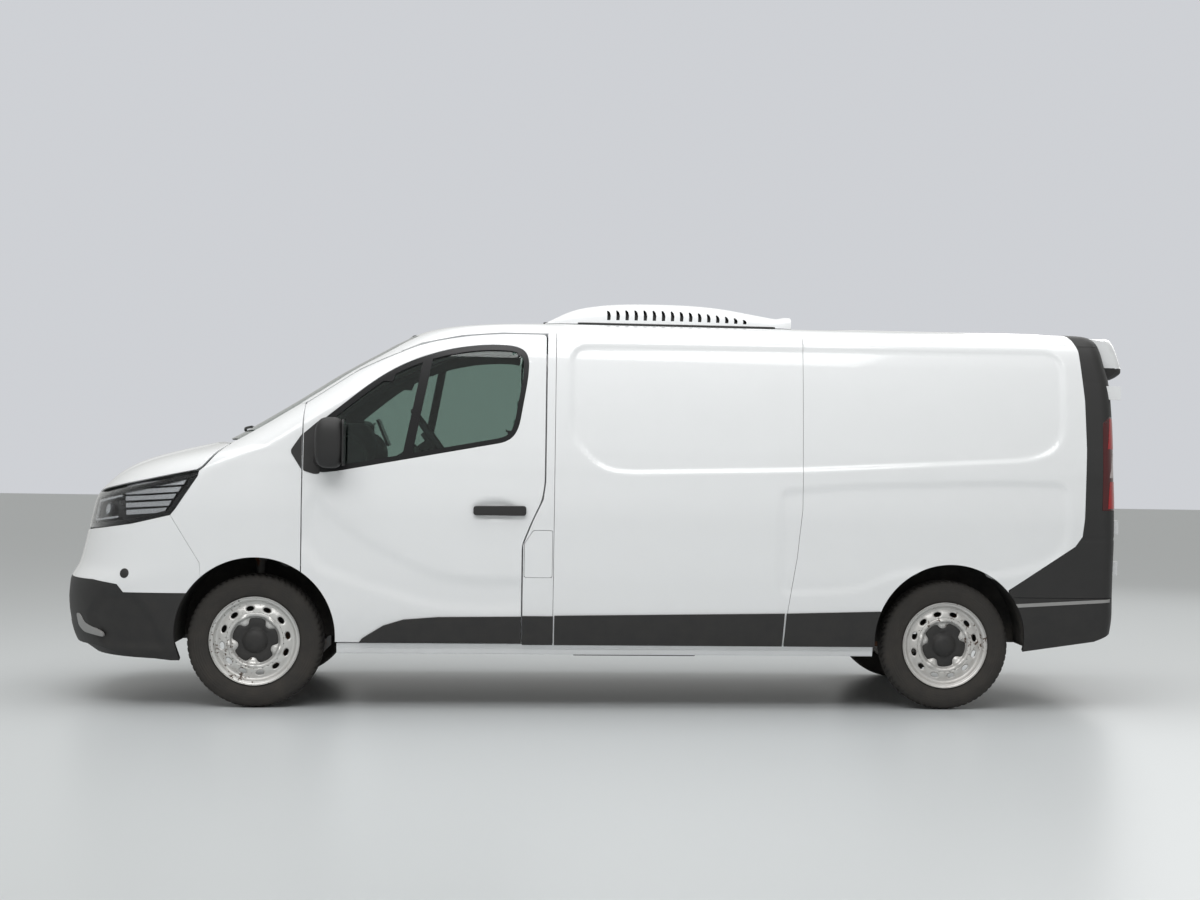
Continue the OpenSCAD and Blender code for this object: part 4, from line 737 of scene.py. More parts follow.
bonnet_line = from_side(np.concatenate([np.linspace(a, b, 12, endpoint=False) for a, b in zip(np.array(BONNET_SIDE[:-1]), np.array(BONNET_SIDE[1:]))]))
nose_q = climb_at(1.0370)
t = np.linspace(0, 1, 40)
to_nose = np.c_[bonnet_line[-1, 0] * (1 - t), bonnet_line[-1, 1] + (nose_q - bonnet_line[-1, 1]) * (1 - (1 - t) ** 1.6)][1:]
back_q = bonnet_line[0, 1]
bonnet = np.concatenate([bonnet_line, to_nose, np.c_[np.zeros(30), np.linspace(nose_q, back_q, 32)[1:-1]],
                         np.c_[np.linspace(0, bonnet_line[0, 0], 50)[:-1], np.full(49, back_q)]])
panel("bonnet_skin", "engine_bonnet", PAINT, bonnet, sides="both", solid=0.008, press=bonnet_press, replaces=["bonnet"])
cover_low = [[NOSE + 0.660, 0.575], [NOSE + 0.382, 0.575], [NOSE + 0.349, 0.614], [NOSE + 0.216, 0.632], [NOSE, 0.632]]
cover_side = [[NOSE + 0.752, 0.727], [NOSE + 0.609, 0.960], [NOSE + 0.415, 0.913], [NOSE + 0.200, 0.879]]
arch_up = arch(FRONT_ARCH, 180 - np.degrees(np.arcsin((0.575 - ARCH_TOP) / ARCH_R)), hit, n=12)


def with_front(side_points, step=0.014):
    return from_side(np.concatenate([np.linspace(a, b, max(2, int(np.ceil(np.linalg.norm(np.subtract(b, a)) / step))), endpoint=False)
                                     for a, b in zip(side_points[:-1], side_points[1:])] + [np.array(side_points[-1:])]))


cover_a = with_front([[NOSE + 0.382, 0.575], *arch_up, *cover_side])
grille_edge = from_front(np.c_[np.full(20, GRILLE_Y), np.linspace(0.862, 0.640, 20)])
cover_b = np.c_[np.linspace(cover_a[-1, 0], grille_edge[0, 0], 14)[1:-1], np.linspace(cover_a[-1, 1], grille_edge[0, 1], 14)[1:-1]]
cover_c = np.c_[np.linspace(grille_edge[-1, 0], 0, 24)[1:], np.full(23, grille_edge[-1, 1])]
cover_d = np.array([[0, climb_at(0.632)]])
corner = with_front([[NOSE + 0.216, 0.632], [NOSE + 0.349, 0.614], [NOSE + 0.382, 0.575]])[:-1]
cover_e = np.c_[np.linspace(0, corner[0, 0], 30)[1:-1], np.full(28, climb_at(0.632))]
cover = np.concatenate([cover_a, cover_b, grille_edge, cover_c, cover_d, cover_e, corner])
panel("bumper_skin", "root", PAINT, cover, sides="both", solid=0.02, step=0.02, replaces=["bumper_cover"])

# Black lower bumper, with its lip.
drop = 180 - np.degrees(np.arcsin((0.574 - ARCH_TOP) / ARCH_R))
lower_a = with_front([[NOSE + 0.216, 0.631], [NOSE + 0.348, 0.613], [NOSE + 0.381, 0.574], *arch(FRONT_ARCH, drop, 187, n=14),
                      [NOSE + 0.652, 0.236], [NOSE + 0.610, 0.236], [NOSE + 0.372, 0.262], [NOSE + 0.225, 0.300]])
lower_b = np.c_[np.linspace(lower_a[-1, 0], 0, 30)[1:], np.full(29, climb_at(0.300))]
lower_c = np.c_[np.zeros(14), np.linspace(climb_at(0.300), climb_at(0.631), 16)[1:-1]]
lower_d = np.c_[np.linspace(0, lower_a[0, 0], 30)[:-1], np.full(29, climb_at(0.631))]


def bumper_press(p):
    """The corner steps in behind a slanted edge."""
    flat = p[:, [0, 2]]
    corner = rounded([[-2.46, 0.585], [-2.30, 0.560], [-2.20, 0.43], [-2.17, 0.30], [-2.47, 0.30], [-2.55, 0.45]], 0.03)
    d = distance(flat, corner) * np.where(inside(flat, corner), 1, -1)
    return 0.016 * np.clip(d / 0.03 + 0.3, 0, 1)


lower_e = np.concatenate([lower_a, lower_b, np.array([[0, climb_at(0.345)]]), np.c_[np.zeros(3), np.linspace(climb_at(0.35), climb_at(0.395), 3)],
                          np.c_[np.linspace(0, from_front([[0.50, 0.40]])[0, 0], 24), np.full(24, climb_at(0.40))],
                          from_front([[0.52, 0.42], [0.525, 0.46], [0.52, 0.50]]),
                          np.c_[np.linspace(from_front([[0.50, 0.52]])[0, 0], 0, 24), np.full(24, climb_at(0.52))],
                          np.c_[np.zeros(4), np.linspace(climb_at(0.53), climb_at(0.62), 4)], lower_d])
panel("front_bumper_skin", "root", PLASTIC, lower_e, sides="both", solid=0.03, press=bumper_press, step=0.016, replaces=["front_bumper"])
insert_a = [[-2.625, 0.455], [-2.600, 0.455], [-2.575, 0.412], [-2.470, 0.368], [-2.462, 0.345], [-2.580, 0.362], [-2.615, 0.392]]
panel("bumper_inserts", "root", STRIP, spread(rounded(insert_a, 0.015), 0.01), sides="both", inset=-0.003, solid=0.012, step=0.012)
lip = np.concatenate([with_front([[NOSE + 0.60, 0.2355], [NOSE + 0.372, 0.2600], [NOSE + 0.225, 0.2980]]), np.c_[np.linspace(from_side([[NOSE + 0.225, 0.298]])[0, 0], 0, 30)[1:], np.full(29, climb_at(0.298))],
                      np.c_[np.linspace(0, from_side([[NOSE + 0.60, 0.2325]])[0, 0], 40), np.full(40, climb_at(0.2325))]])
panel("bumper_lip", "root", PLASTIC, lip, sides="both", inset=0.02, solid=0.016, step=0.02)
for side, sign in (("left", -1), ("right", 1)):
    spot = skin(*from_side([[-2.353, 0.669]]).T)[0] * [1, sign, 1]
    out = outward(*from_side([[-2.353, 0.669]]).T)[0] * [1, sign, 1]
    ring = swept([spot - out * 0.004, spot + out * 0.0015, spot + out * 0.003], circle(0.024, 28), scale=[1, 1, 0.9])
    piece(f"{side}_bumper_sensor", "root", PLASTIC, *ring, turn=True)

# ---------------------------------------------------------------- grille
grille = np.concatenate([np.c_[np.linspace(0, from_front([[0.418, 0.642]])[0, 0], 24), np.full(24, climb_at(0.642))],
                         from_front(np.c_[np.full(24, 0.418), np.linspace(0.65, 1.060, 24)]),
                         np.c_[np.linspace(from_front([[0.40, 1.0600]])[0, 0], 0, 30), climb_at(np.linspace(1.060, 1.026, 30))],
                         np.c_[np.zeros(18), np.linspace(climb_at(1.026), climb_at(0.642), 20)[1:-1]]])
holes = []
for z in (0.690, 0.756, 0.822, 0.888):
    w = from_front([[0.36, z], [0.38, z + 0.022], [0.36, z + 0.044]])
    holes.append(np.concatenate([np.c_[np.linspace(0.02, w[0, 0], 24), np.full(24, climb_at(z))], w[1:2], np.c_[np.linspace(w[2, 0], 0.02, 24), np.full(24, climb_at(z + 0.044))]]))
panel("grille_frame", "root", GLOSS, grille, holes, sides="both", inset=0.008, solid=0.016, step=0.016, replaces=["grille"])
back = np.concatenate([np.c_[np.linspace(0, from_front([[0.40, 0.66]])[0, 0], 14), np.full(14, climb_at(0.66))],
                       np.c_[np.linspace(from_front([[0.40, 0.95]])[0, 0], 0, 14), np.full(14, climb_at(0.95))]])
panel("grille_backing", "root", PLASTIC, back, sides="both", inset=0.045, solid=0.003, bevel=0, step=0.04)
bars = []
for z in (0.712, 0.778, 0.844, 0.910):
    a = np.linspace(0, from_front([[0.372, z]])[0, 0], 30)
    p = skin(a, np.full(30, climb_at(z))) - outward(a, np.full(30, climb_at(z))) * 0.020
    line = np.concatenate([p[::-1] * [1, -1, 1], p[1:]])
    bars.append(swept(line, rounded([[-0.012, -0.004], [0.012, -0.006], [0.012, 0.006], [-0.012, 0.004]], 0.003, 3)))
piece("grille_bars", "root", DARK_SILVER, *joined(bars), turn=True)

# ---------------------------------------------------------------- headlamps
LAMP = [[NOSE + 0.739, 1.171], [NOSE + 0.735, 1.155], [NOSE + 0.632, 0.992], [NOSE + 0.608, 0.963], [NOSE + 0.415, 0.916], [NOSE + 0.200, 0.882]]
lamp_low = with_front(LAMP)
inner = from_front(np.c_[np.full(14, GRILLE_Y + 0.001), np.linspace(0.872, 1.058, 14)])
lamp_top = with_front([[NOSE + 0.255, 1.066], [NOSE + 0.382, 1.098], [NOSE + 0.739, 1.171]])[:-1]
fill_low = np.c_[np.linspace(lamp_low[-1, 0], inner[0, 0], 12)[1:-1], np.linspace(lamp_low[-1, 1], inner[0, 1], 12)[1:-1]]
fill_top = np.c_[np.linspace(inner[-1, 0], lamp_top[0, 0], 12)[1:-1], np.linspace(inner[-1, 1], lamp_top[0, 1], 12)[1:-1]]
lamp = np.concatenate([lamp_low, fill_low, inner, fill_top, lamp_top])
panel("headlamp_housings", "root", GLOSS, lamp, sides="both", inset=0.036, solid=0.003, step=0.02, bevel=0, replaces=["headlamps"])
panel("headlamp_covers", "root", LENS, grown(lamp, -0.001), sides="both", inset=0.001, solid=0.003, step=0.014)
panel("headlamp_frames", "root", GLOSS, grown(lamp, -0.002), [grown(lamp, -0.024)], sides="both", inset=0.006, solid=0.028, step=0.008, bevel=0)
ribs = []
for k in range(5):
    z0 = 0.957 + 0.036 * k
    x0, x1 = NOSE + 0.372 - 0.004 * k, NOSE + 0.575 + 0.023 * k
    bar = spread(rounded([[x0, z0], [x1, z0 + 0.014], [x1 + 0.014, z0 + 0.040], [x0, z0 + 0.024]], 0.004, 3), 0.010)
    ribs.append(panel_mesh(bar, sides="both", inset=0.016, step=0.010))
piece("headlamp_ribs", "root", SILVER, *joined(ribs), solid=0.010, bevel=0.001, weld=True)
guide = spread(rounded([[NOSE + 0.345, 1.062], [NOSE + 0.180, 1.022], [NOSE + 0.165, 0.915], [NOSE + 0.330, 0.942], [NOSE + 0.327, 0.952],
                        [NOSE + 0.176, 0.927], [NOSE + 0.190, 1.012], [NOSE + 0.347, 1.050]], 0.008, 4), 0.008)
panel("headlamp_guides", "root", SILVER, guide, sides="both", inset=0.014, solid=0.010, step=0.008, bevel=0.0008)
for side, sign in (("left", -1), ("right", 1)):
    eye_at = from_side([[NOSE + 0.262, 0.982]]).T
    spot = skin(*eye_at)[0] * [1, sign, 1]
    out = outward(*eye_at)[0] * [1, sign, 1]
    tube = swept([spot - out * d for d in (0.034, 0.020, 0.014, 0.0135)], circle(0.036, 32), scale=[0.9, 1, 1, 0.86])
    lens = swept([spot - out * d for d in (0.020, 0.016, 0.0115, 0.0095, 0.0092)], circle(0.028, 32), scale=[1, 1, 0.8, 0.45, 0.1])
    piece(f"{side}_lamp_bowl", "root", DARK_SILVER, *tube, turn=True)
    piece(f"{side}_lamp_eye", "root", SILVER, *lens, turn=True)

# ---------------------------------------------------------------- front doors
outline = spread(door_outline())
window_hole = spread(WINDOW, 0.012)
card = spread(grown(door_outline(), -0.020), 0.03)
card_hole = spread(grown(WINDOW, -0.024), 0.02)
glass_line = grown(WINDOW, -0.008)
BAR = np.array([[-0.889, 1.771], [-0.985, 1.270]])
bar_way = (BAR[1] - BAR[0]) / np.linalg.norm(BAR[1] - BAR[0])


def beside(points, d):
    """Signed distance from the leaning bar of the window, positive to the rear."""
    v = np.asarray(points) - BAR[0]
    return v[:, 0] * -bar_way[1] + v[:, 1] * bar_way[0] + d


opening = dense(grown(WINDOW, -0.026), 0.01)
rear_part = opening[beside(opening, 0) > 0.018]
k = int(np.argmax(np.linalg.norm(rear_part - np.roll(rear_part, 1, 0), axis=1)))
rear_hole = np.roll(rear_part, -k, 0)
front_part = opening[(beside(opening, 0) < -0.018) & (opening[:, 0] > DOOR_FRONT + 0.155)]
k = int(np.argmax(np.linalg.norm(front_part - np.roll(front_part, 1, 0), axis=1)))
front_hole = np.roll(front_part, -k, 0)
for side, sign in (("left", -1), ("right", 1)):
    body = f"{side}_front_door"
    panel(f"{side}_door_skin", body, PAINT, outline, [window_hole], sides=side, press=door_press, solid=0.018, replaces=[f"{side}_door"])
    panel(f"{side}_door_card", body, CAB, card, [card_hole], sides=side, inset=0.0185, solid=0.036, step=0.04)
    panel(f"{side}_window_frame", body, GLOSS, spread(grown(WINDOW, -0.001), 0.01), [spread(rear_hole, 0.01), spread(front_hole, 0.01)], sides=side,
          inset=0.0035, solid=0.008, step=0.014, bevel=0.0008)
    panel(f"{side}_door_pane", body, GLASS, spread(glass_line, 0.02), sides=side, inset=0.014, solid=0.004, step=0.03, bevel=0,
          replaces=[f"{side}_door_glass"])
    foot = [[DOOR_FRONT + 0.284, SILL + SHUT], [DOOR_FRONT + 0.300, 0.356], [DOOR_FRONT + 0.331, 0.376], [DOOR_FRONT + 0.404, 0.422],
            [DOOR_FRONT + 0.503, 0.453], [DOOR_FRONT + 0.675, 0.467], [DOOR_FOOT, 0.472], [DOOR_FOOT, SILL + SHUT]]
    panel(f"{side}_door_cladding", body, PLASTIC, spread(foot, 0.012), sides=side, inset=-0.008, solid=0.0078, step=0.016, bevel=0.002,
          replaces=[f"{side}_door_trim"])
    grip = rounded([[DOOR_REAR - 0.353, 0.980], [DOOR_REAR - 0.353, 1.026], [DOOR_REAR - 0.090, 1.029], [DOOR_REAR - 0.090, 0.980]], 0.016, 6)
    panel(f"{side}_door_handle", body, PLASTIC, spread(grip, 0.01), sides=side, inset=-0.024, solid=0.014, step=0.010, bevel=0.004)
    posts = [swept(np.array([[DOOR_REAR - d, sign * (HALF + 0.013), 1.003], [DOOR_REAR - d, sign * (HALF - 0.002), 1.003]]), circle(0.012, 14)) for d in (0.115, 0.325)]
    piece(f"{side}_handle_posts", body, PLASTIC, *joined(posts), turn=True)
    # Black corner that runs from the wing on to the door, below the mirror.
    near_line = rounded([[DOOR_FRONT + 0.003, 1.190], [DOOR_FRONT + 0.003, 1.376], [DOOR_FRONT + 0.075, 1.440], [DOOR_FRONT + 0.085, 1.176], [DOOR_FRONT + 0.06, 1.172]],
                        [0.01, 0.004, 0.01, 0.01, 0.02], 5)
    panel(f"{side}_door_corner", body, PLASTIC, spread(near_line, 0.01), sides=side, inset=-0.002, solid=0.004, step=0.012, bevel=0.0006)
    corner_line = rounded([[DOOR_FRONT - 0.0055, 1.196], [DOOR_FRONT - 0.0055, 1.372], [DOOR_FRONT - 0.063, 1.286]], [0.004, 0.004, 0.02], 5)
    panel(f"{side}_wing_corner", "root", PLASTIC, spread(corner_line, 0.01), sides=side, inset=-0.002, solid=0.002, step=0.012, bevel=0.0006)

# ---------------------------------------------------------------- mirrors
for side, sign in (("left", -1), ("right", 1)):
    lo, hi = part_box(f"{side}_mirror")
    cy = sign * 1.062

    def housing(p):
        """Flat towards the rear, narrower at the foot, leaning in to the door."""
        q = p.copy()
        q[:, 0] = np.where(p[:, 0] > 0, p[:, 0] * 0.82, p[:, 0])
        q[:, 1] *= 1 - 0.10 * np.clip(-p[:, 2], 0, 1)
        q[:, 0] += 0.10 * (1 - np.abs(p[:, 1])) * (p[:, 0] < 0) * -0.3
        return q
    shell_points, shell_faces = blob((DOOR_FRONT + 0.147, cy, 1.331), (0.078, 0.078, 0.126), (3.2, 3.4), (48, 72), housing)
    shell_points[:, 0] -= 0.10 * (1.331 - shell_points[:, 2]) * 0.12
    piece(f"{side}_mirror_housing", f"{side}_front_door", PLASTIC, shell_points, shell_faces, weld=True, replaces=[f"{side}_mirror"])
    rim = rounded(np.array([[-0.062, -0.106], [0.062, -0.106], [0.066, 0.108], [-0.066, 0.108]]), 0.03, 8)
    face = np.array([[DOOR_FRONT + 0.2080, cy, 1.331], [DOOR_FRONT + 0.2116, cy, 1.331]])
    piece(f"{side}_mirror_face", f"{side}_front_door", MIRROR, *swept(face, rim), turn=True, sharp=30)
    piece(f"{side}_mirror_rim", f"{side}_front_door", PLASTIC, *swept(face - [[0.004, 0, 0], [0.0002, 0, 0]], rim * 1.07), turn=True, sharp=30)
    arm = swept(smooth_path([[DOOR_FRONT + 0.100, sign * 0.950, 1.246], [DOOR_FRONT + 0.112, sign * 0.985, 1.240], [DOOR_FRONT + 0.130, sign * 1.020, 1.246]], 10),
                rounded([[-0.045, -0.022], [0.045, -0.022], [0.045, 0.022], [-0.045, 0.022]], 0.014, 4), scale=np.linspace(1.1, 0.9, 10))
    piece(f"{side}_mirror_arm", f"{side}_front_door", PLASTIC, *arm, turn=True)

# ---------------------------------------------------------------- black side cladding and sills
strips = [
    [[DOOR_FOOT + SHUT, SILL], [DOOR_FOOT + SHUT, 0.475], [B_PILLAR - 0.001, 0.475], [B_PILLAR - 0.001, SILL]],
    [[B_PILLAR + SHUT, SILL], [B_PILLAR + SHUT, 0.478], [MID_SEAM - 0.084, 0.498], [MID_SEAM - 0.094, SILL]],
    np.concatenate([[[MID_SEAM - 0.075, 0.498]], [[REAR_ARCH - 0.366, 0.512]], arch(REAR_ARCH, 159, 185.3, n=14), [[MID_SEAM - 0.085, SILL]]])]
piece("side_cladding", "root", PLASTIC, *joined([panel_mesh(spread(s, 0.012), sides="both", inset=-0.008, step=0.018) for s in strips]),
      replaces=["side_mouldings"], solid=0.0078, bevel=0.002, weld=True)
sill_parts = []
for z0, z1, inset in ((0.3045, 0.3268, 0.012), (0.2765, 0.3000, 0.012)):
    strip = [[FRONT_ARCH + 0.400, z0], [FRONT_ARCH + 0.400, z1], [REAR_ARCH - 0.400, z1], [REAR_ARCH - 0.400, z0]]
    sill_parts.append(panel_mesh(spread(rounded(strip, 0.004, 3), 0.02), sides="both", inset=inset, step=0.02))
piece("sill_strips", "root", PAINT, *joined(sill_parts), solid=0.02, bevel=0.0025, weld=True)

# ---------------------------------------------------------------- tail
door_edge = np.array([[0.600, 0.806], [1.100, 0.806], [1.400, 0.790], [1.600, 0.768], [1.800, 0.735], [1.870, 0.700], [1.892, 0.660]])
tail_z = np.linspace(0.600, 1.892, 60)


def rear_door_sheet(y_in, trim=0.0):
    """One rear door's outline: its slanting outer edge, its top and the split between the doors."""
    y_edge = np.interp(tail_z, door_edge[:, 0], door_edge[:, 1]) - trim
    z = np.clip(tail_z, 0.600 + trim, 1.892 - trim)
    outer = from_rear(np.c_[y_edge, z])
    top = from_rear(np.c_[np.linspace(y_edge[-1], y_in + trim, 30)[1:], np.full(29, z[-1])])
    down_z = np.linspace(z[-1], z[0], 60)[1:]
    split = from_rear(np.c_[np.full(59, y_in + trim), down_z])
    bottom = from_rear(np.c_[np.linspace(y_in + trim, y_edge[0], 30)[1:-1], np.full(28, z[0])])
    return np.concatenate([outer, top, split, bottom])


def rear_press(p):
    """A number plate's recess and a long pressing above it."""
    flat = np.c_[np.abs(p[:, 1]), p[:, 2]]
    loops = [rounded([[0.23, 1.18], [0.68, 1.18], [0.64, 1.74], [0.23, 1.74]], 0.06), rounded([[0.23, 0.70], [0.70, 0.70], [0.70, 1.08], [0.23, 1.08]], 0.06)]
    out = np.zeros(len(p))
    for loop in loops:
        d = distance(flat, loop) * np.where(inside(flat, loop), 1, -1)
        t = np.clip(d / 0.026 + 0.5, 0, 1)
        out += 0.008 * t * t * (3 - 2 * t)
    return out


right_sheet, right_card = rear_door_sheet(SPLIT_Y + 0.0045), rear_door_sheet(SPLIT_Y + 0.0045, 0.022)
panel("right_rear_door_skin", "rear_door_right", PAINT, right_sheet, sides="right", press=rear_press, solid=0.018, replaces=["right_rear_door"])
panel("right_rear_door_lining", "rear_door_right", LINING, right_card, sides="right", inset=0.0185, solid=0.036, step=0.03)


def left_door_mesh(trim, inset, press=None):
    """The left door runs from its outer edge past the middle to the split: its own half, and a strip of the other half."""
    own, tris = filled(rear_door_sheet(0.0, trim) if not trim else rear_door_sheet(-trim, trim), step=0.02)
    p = skin(own[:, 0], own[:, 1])
    shift = inset + (press(p) if press else 0)
    p = p - outward(own[:, 0], own[:, 1]) * np.broadcast_to(shift, len(p))[:, None]
    p[:, 1] = np.maximum(p[:, 1], 0)
    strip_y = SPLIT_Y - 0.0045 - trim
    z = np.linspace(0.600 + trim, 1.892 - trim, 60)
    edge = from_rear(np.c_[np.full(60, strip_y), z])
    middle = np.c_[np.full(58, SHEET), climb_at(z[1:-1][::-1])]
    top = np.c_[np.linspace(edge[-1, 0], SHEET, 8)[1:], np.full(7, edge[-1, 1])]
    low = np.c_[np.linspace(SHEET, edge[0, 0], 8)[:-1], np.full(7, edge[0, 1])]
    strip, more = filled(np.concatenate([edge, top, middle, low]), step=0.02)
    s = skin(strip[:, 0], strip[:, 1])
    shift = inset + (press(s) if press else 0)
    s = s - outward(strip[:, 0], strip[:, 1]) * np.broadcast_to(shift, len(s))[:, None]
    s[:, 1] = np.maximum(s[:, 1], 0)
    return joined([(p * [1, -1, 1], tris), (s, more[:, ::-1])])


piece("left_rear_door_skin", "rear_door_left", PAINT, *left_door_mesh(0.0, 0.0, rear_press), replaces=["left_rear_door"], solid=0.018, bevel=0.0018, weld=True)
piece("left_rear_door_lining", "rear_door_left", LINING, *left_door_mesh(0.022, 0.0185), solid=0.036, bevel=0.003, weld=True)

# Black corner trims round the tail.
outer_z = np.linspace(0.590, ROOF_LINE - SEAM, 70)
edge_y = np.interp(outer_z, door_edge[:, 0], door_edge[:, 1]) + SHUT
rear_line = from_rear(np.c_[np.where(outer_z > 1.892, 0.66 + SHUT, edge_y), outer_z])
trim_arch = arch(REAR_ARCH, np.degrees(np.arccos(0.301 / ARCH_R)), np.degrees(np.arcsin((0.5886 - ARCH_TOP) / ARCH_R)), n=10)
front_line = from_side(np.concatenate([np.concatenate([np.linspace(a, b, 14, endpoint=False) for a, b in zip(np.array(TRIM_EDGE[:-1]), np.array(TRIM_EDGE[1:]))]),
                                       trim_arch]))
foot_line = np.c_[np.linspace(front_line[-1, 0], rear_line[0, 0], 30)[1:-1], np.full(28, rear_line[0, 1])]
head_line = np.c_[np.linspace(rear_line[-1, 0], front_line[0, 0], 20)[1:-1], np.full(18, rear_line[-1, 1])]
trim_outline = np.concatenate([front_line, foot_line, rear_line, head_line])
tail_lamp = np.array([[TRIM + 0.092, 1.500], [TRIM + 0.130, 1.535], [TAIL - 0.034, 1.535], [TAIL - 0.034, 1.045], [TRIM + 0.086, 1.045], [TRIM + 0.090, 1.250]])
lamp_front = from_side(np.concatenate([np.linspace(a, b, 10, endpoint=False) for a, b in zip(tail_lamp[[4, 5, 0]], tail_lamp[[5, 0, 1]])] + [tail_lamp[1:2]]))
lamp_back = from_rear(np.c_[np.full(30, 0.852), np.linspace(1.535, 1.045, 30)])
lamp_roofline = np.c_[np.linspace(lamp_front[-1, 0], lamp_back[0, 0], 16)[1:-1], np.full(14, lamp_back[0, 1])]
lamp_sole = np.c_[np.linspace(lamp_back[-1, 0], lamp_front[0, 0], 16)[1:-1], np.full(14, lamp_back[-1, 1])]
lamp_loop = np.concatenate([lamp_front, lamp_roofline, lamp_back, lamp_sole])


def trim_press(p):
    """A groove where the cap and the lower piece of the trim meet."""
    return 0.003 * np.exp(-((p[:, 2] - 1.708) / 0.003) ** 2) + 0.003 * np.exp(-((p[:, 2] - 0.897) / 0.003) ** 2)


panel("corner_trim_skins", "root", PLASTIC, trim_outline, [lamp_loop], sides="both", solid=0.03, step=0.012, press=trim_press, replaces=["corner_trims"])
cap_z = np.linspace(ROOF_LINE - 0.006, 1.9650, 24)
cap_front = from_side(np.c_[np.linspace(TRIM - 0.036, TRIM - 0.068, 24), cap_z])
cap_rear = from_rear(np.c_[np.minimum(0.667, 0.965 * (HALF - np.interp(cap_z, HEIGHT, INSET))), cap_z])
cap_loop = np.concatenate([cap_front, np.c_[np.linspace(cap_front[-1, 0], cap_rear[-1, 0], 20)[1:-1], np.full(18, cap_front[-1, 1])], cap_rear[::-1],
                           np.c_[np.linspace(cap_rear[0, 0], cap_front[0, 0], 20)[1:-1], np.full(18, cap_front[0, 1])]])
panel("corner_trim_caps", "root", PLASTIC, cap_loop, sides="both", inset=-0.0015, solid=0.0025, step=0.010, bevel=0.0006)
panel("tail_lamp_bodies", "root", DEEP_RED, grown(lamp_loop, -0.0012), sides="both", inset=0.0, solid=0.03, step=0.016, replaces=["tail_lamps"])
cells = []
for z0, z1 in ((1.365, 1.525), (1.055, 1.195)):
    f = from_side([[TRIM + 0.118, z0], [TRIM + 0.120, z1]])
    b = from_rear([[0.860, z1], [0.860, z0]])
    loop = np.concatenate([np.c_[np.full(8, f[0, 0]), np.linspace(climb_at(z0), climb_at(z1), 8)], np.c_[np.linspace(f[1, 0], b[0, 0], 8)[1:], np.full(7, climb_at(z1))],
                           np.c_[np.full(7, b[1, 0]), np.linspace(climb_at(z1), climb_at(z0), 8)[1:]], np.c_[np.linspace(b[1, 0], f[0, 0], 8)[1:-1], np.full(6, climb_at(z0))]])
    cells.append(panel_mesh(loop, sides="both", inset=-0.0018, step=0.012))
piece("tail_lamp_reds", "root", RED, *joined(cells), solid=0.0016, bevel=0.0006, weld=True)
f, b = from_side([[TRIM + 0.128, 1.215]]), from_rear([[0.862, 1.350]])
clear_loop = np.concatenate([np.c_[np.linspace(f[0, 0], b[0, 0], 10), np.full(10, climb_at(1.215))], np.c_[np.linspace(b[0, 0], f[0, 0], 10), np.full(10, climb_at(1.345))]])
panel("tail_lamp_whites", "root", WHITE_LENS, clear_loop, sides="both", inset=-0.0018, solid=0.0016, step=0.012, bevel=0.0006)

# Rear bumper with its strip.
bump_top, bump_low = climb_at(0.5875), climb_at(0.306)
fore = from_side(np.concatenate([arch(REAR_ARCH, np.degrees(np.arcsin((0.5875 - ARCH_TOP) / ARCH_R)), -8.5, n=20), [[REAR_ARCH + 0.388, 0.306]]]))
under = from_side(np.concatenate([np.linspace([REAR_ARCH + 0.395, 0.307], [TAIL - 0.197, 0.360], 20), np.linspace([TAIL - 0.19, 0.361], [TAIL - 0.10, 0.397], 8)]))
under_rear = np.c_[np.linspace(under[-1, 0], SHEET, 40)[1:], np.full(39, under[-1, 1])]
rise = np.c_[np.full(14, SHEET), np.linspace(under[-1, 1], bump_top, 16)[1:-1]]
over_top = np.c_[np.linspace(SHEET, fore[0, 0], 60)[:-1], np.full(59, bump_top)]
bumper_loop = np.concatenate([fore, under, under_rear, rise, over_top])
panel("rear_bumper_skin", "root", PLASTIC, bumper_loop, sides="both", solid=0.03, step=0.018, replaces=["rear_bumper"])
strip = np.concatenate([from_side(np.linspace([REAR_ARCH + 0.352, 0.538], [TAIL - 0.11, 0.568], 24)), from_side(np.linspace([TAIL - 0.11, 0.5845], [REAR_ARCH + 0.340, 0.556], 24))])
panel("rear_bumper_strip", "root", STRIP, strip, sides="both", inset=-0.0012, solid=0.001, step=0.01, bevel=0.0004)
step_plate = np.concatenate([np.c_[np.full(2, TAIL - 0.170), [-0.80, 0.80]], np.c_[TAIL - 0.045 - 0.05 * (np.linspace(-1, 1, 30) ** 6), np.linspace(0.80, -0.80, 30)]])
top_face = np.c_[step_plate, np.full(len(step_plate), 0.5872)]
low_face = np.c_[step_plate, np.full(len(step_plate), 0.566)]
n = len(step_plate)
piece("loading_step", "root", PLASTIC, np.concatenate([top_face, low_face]),
      [list(range(n)), list(range(2 * n - 1, n - 1, -1))] + [[k, (k + 1) % n, n + (k + 1) % n, n + k] for k in range(n)], turn=True, bevel=0.003)

# Roof-edge lip in two halves, with the brake lamp in the middle of the left one.
LIP = smooth_path([[TAIL - 0.108, 1.948], [TAIL - 0.088, 1.949], [TAIL - 0.066, 1.938], [TAIL - 0.042, 1.905], [TAIL - 0.018, 1.845], [TAIL - 0.002, 1.7945]], 40)
UNDER = smooth_path([[TAIL - 0.003, 1.7925], [TAIL - 0.005, 1.770], [TAIL - 0.028, 1.750], [TAIL - 0.062, 1.733]], 20)


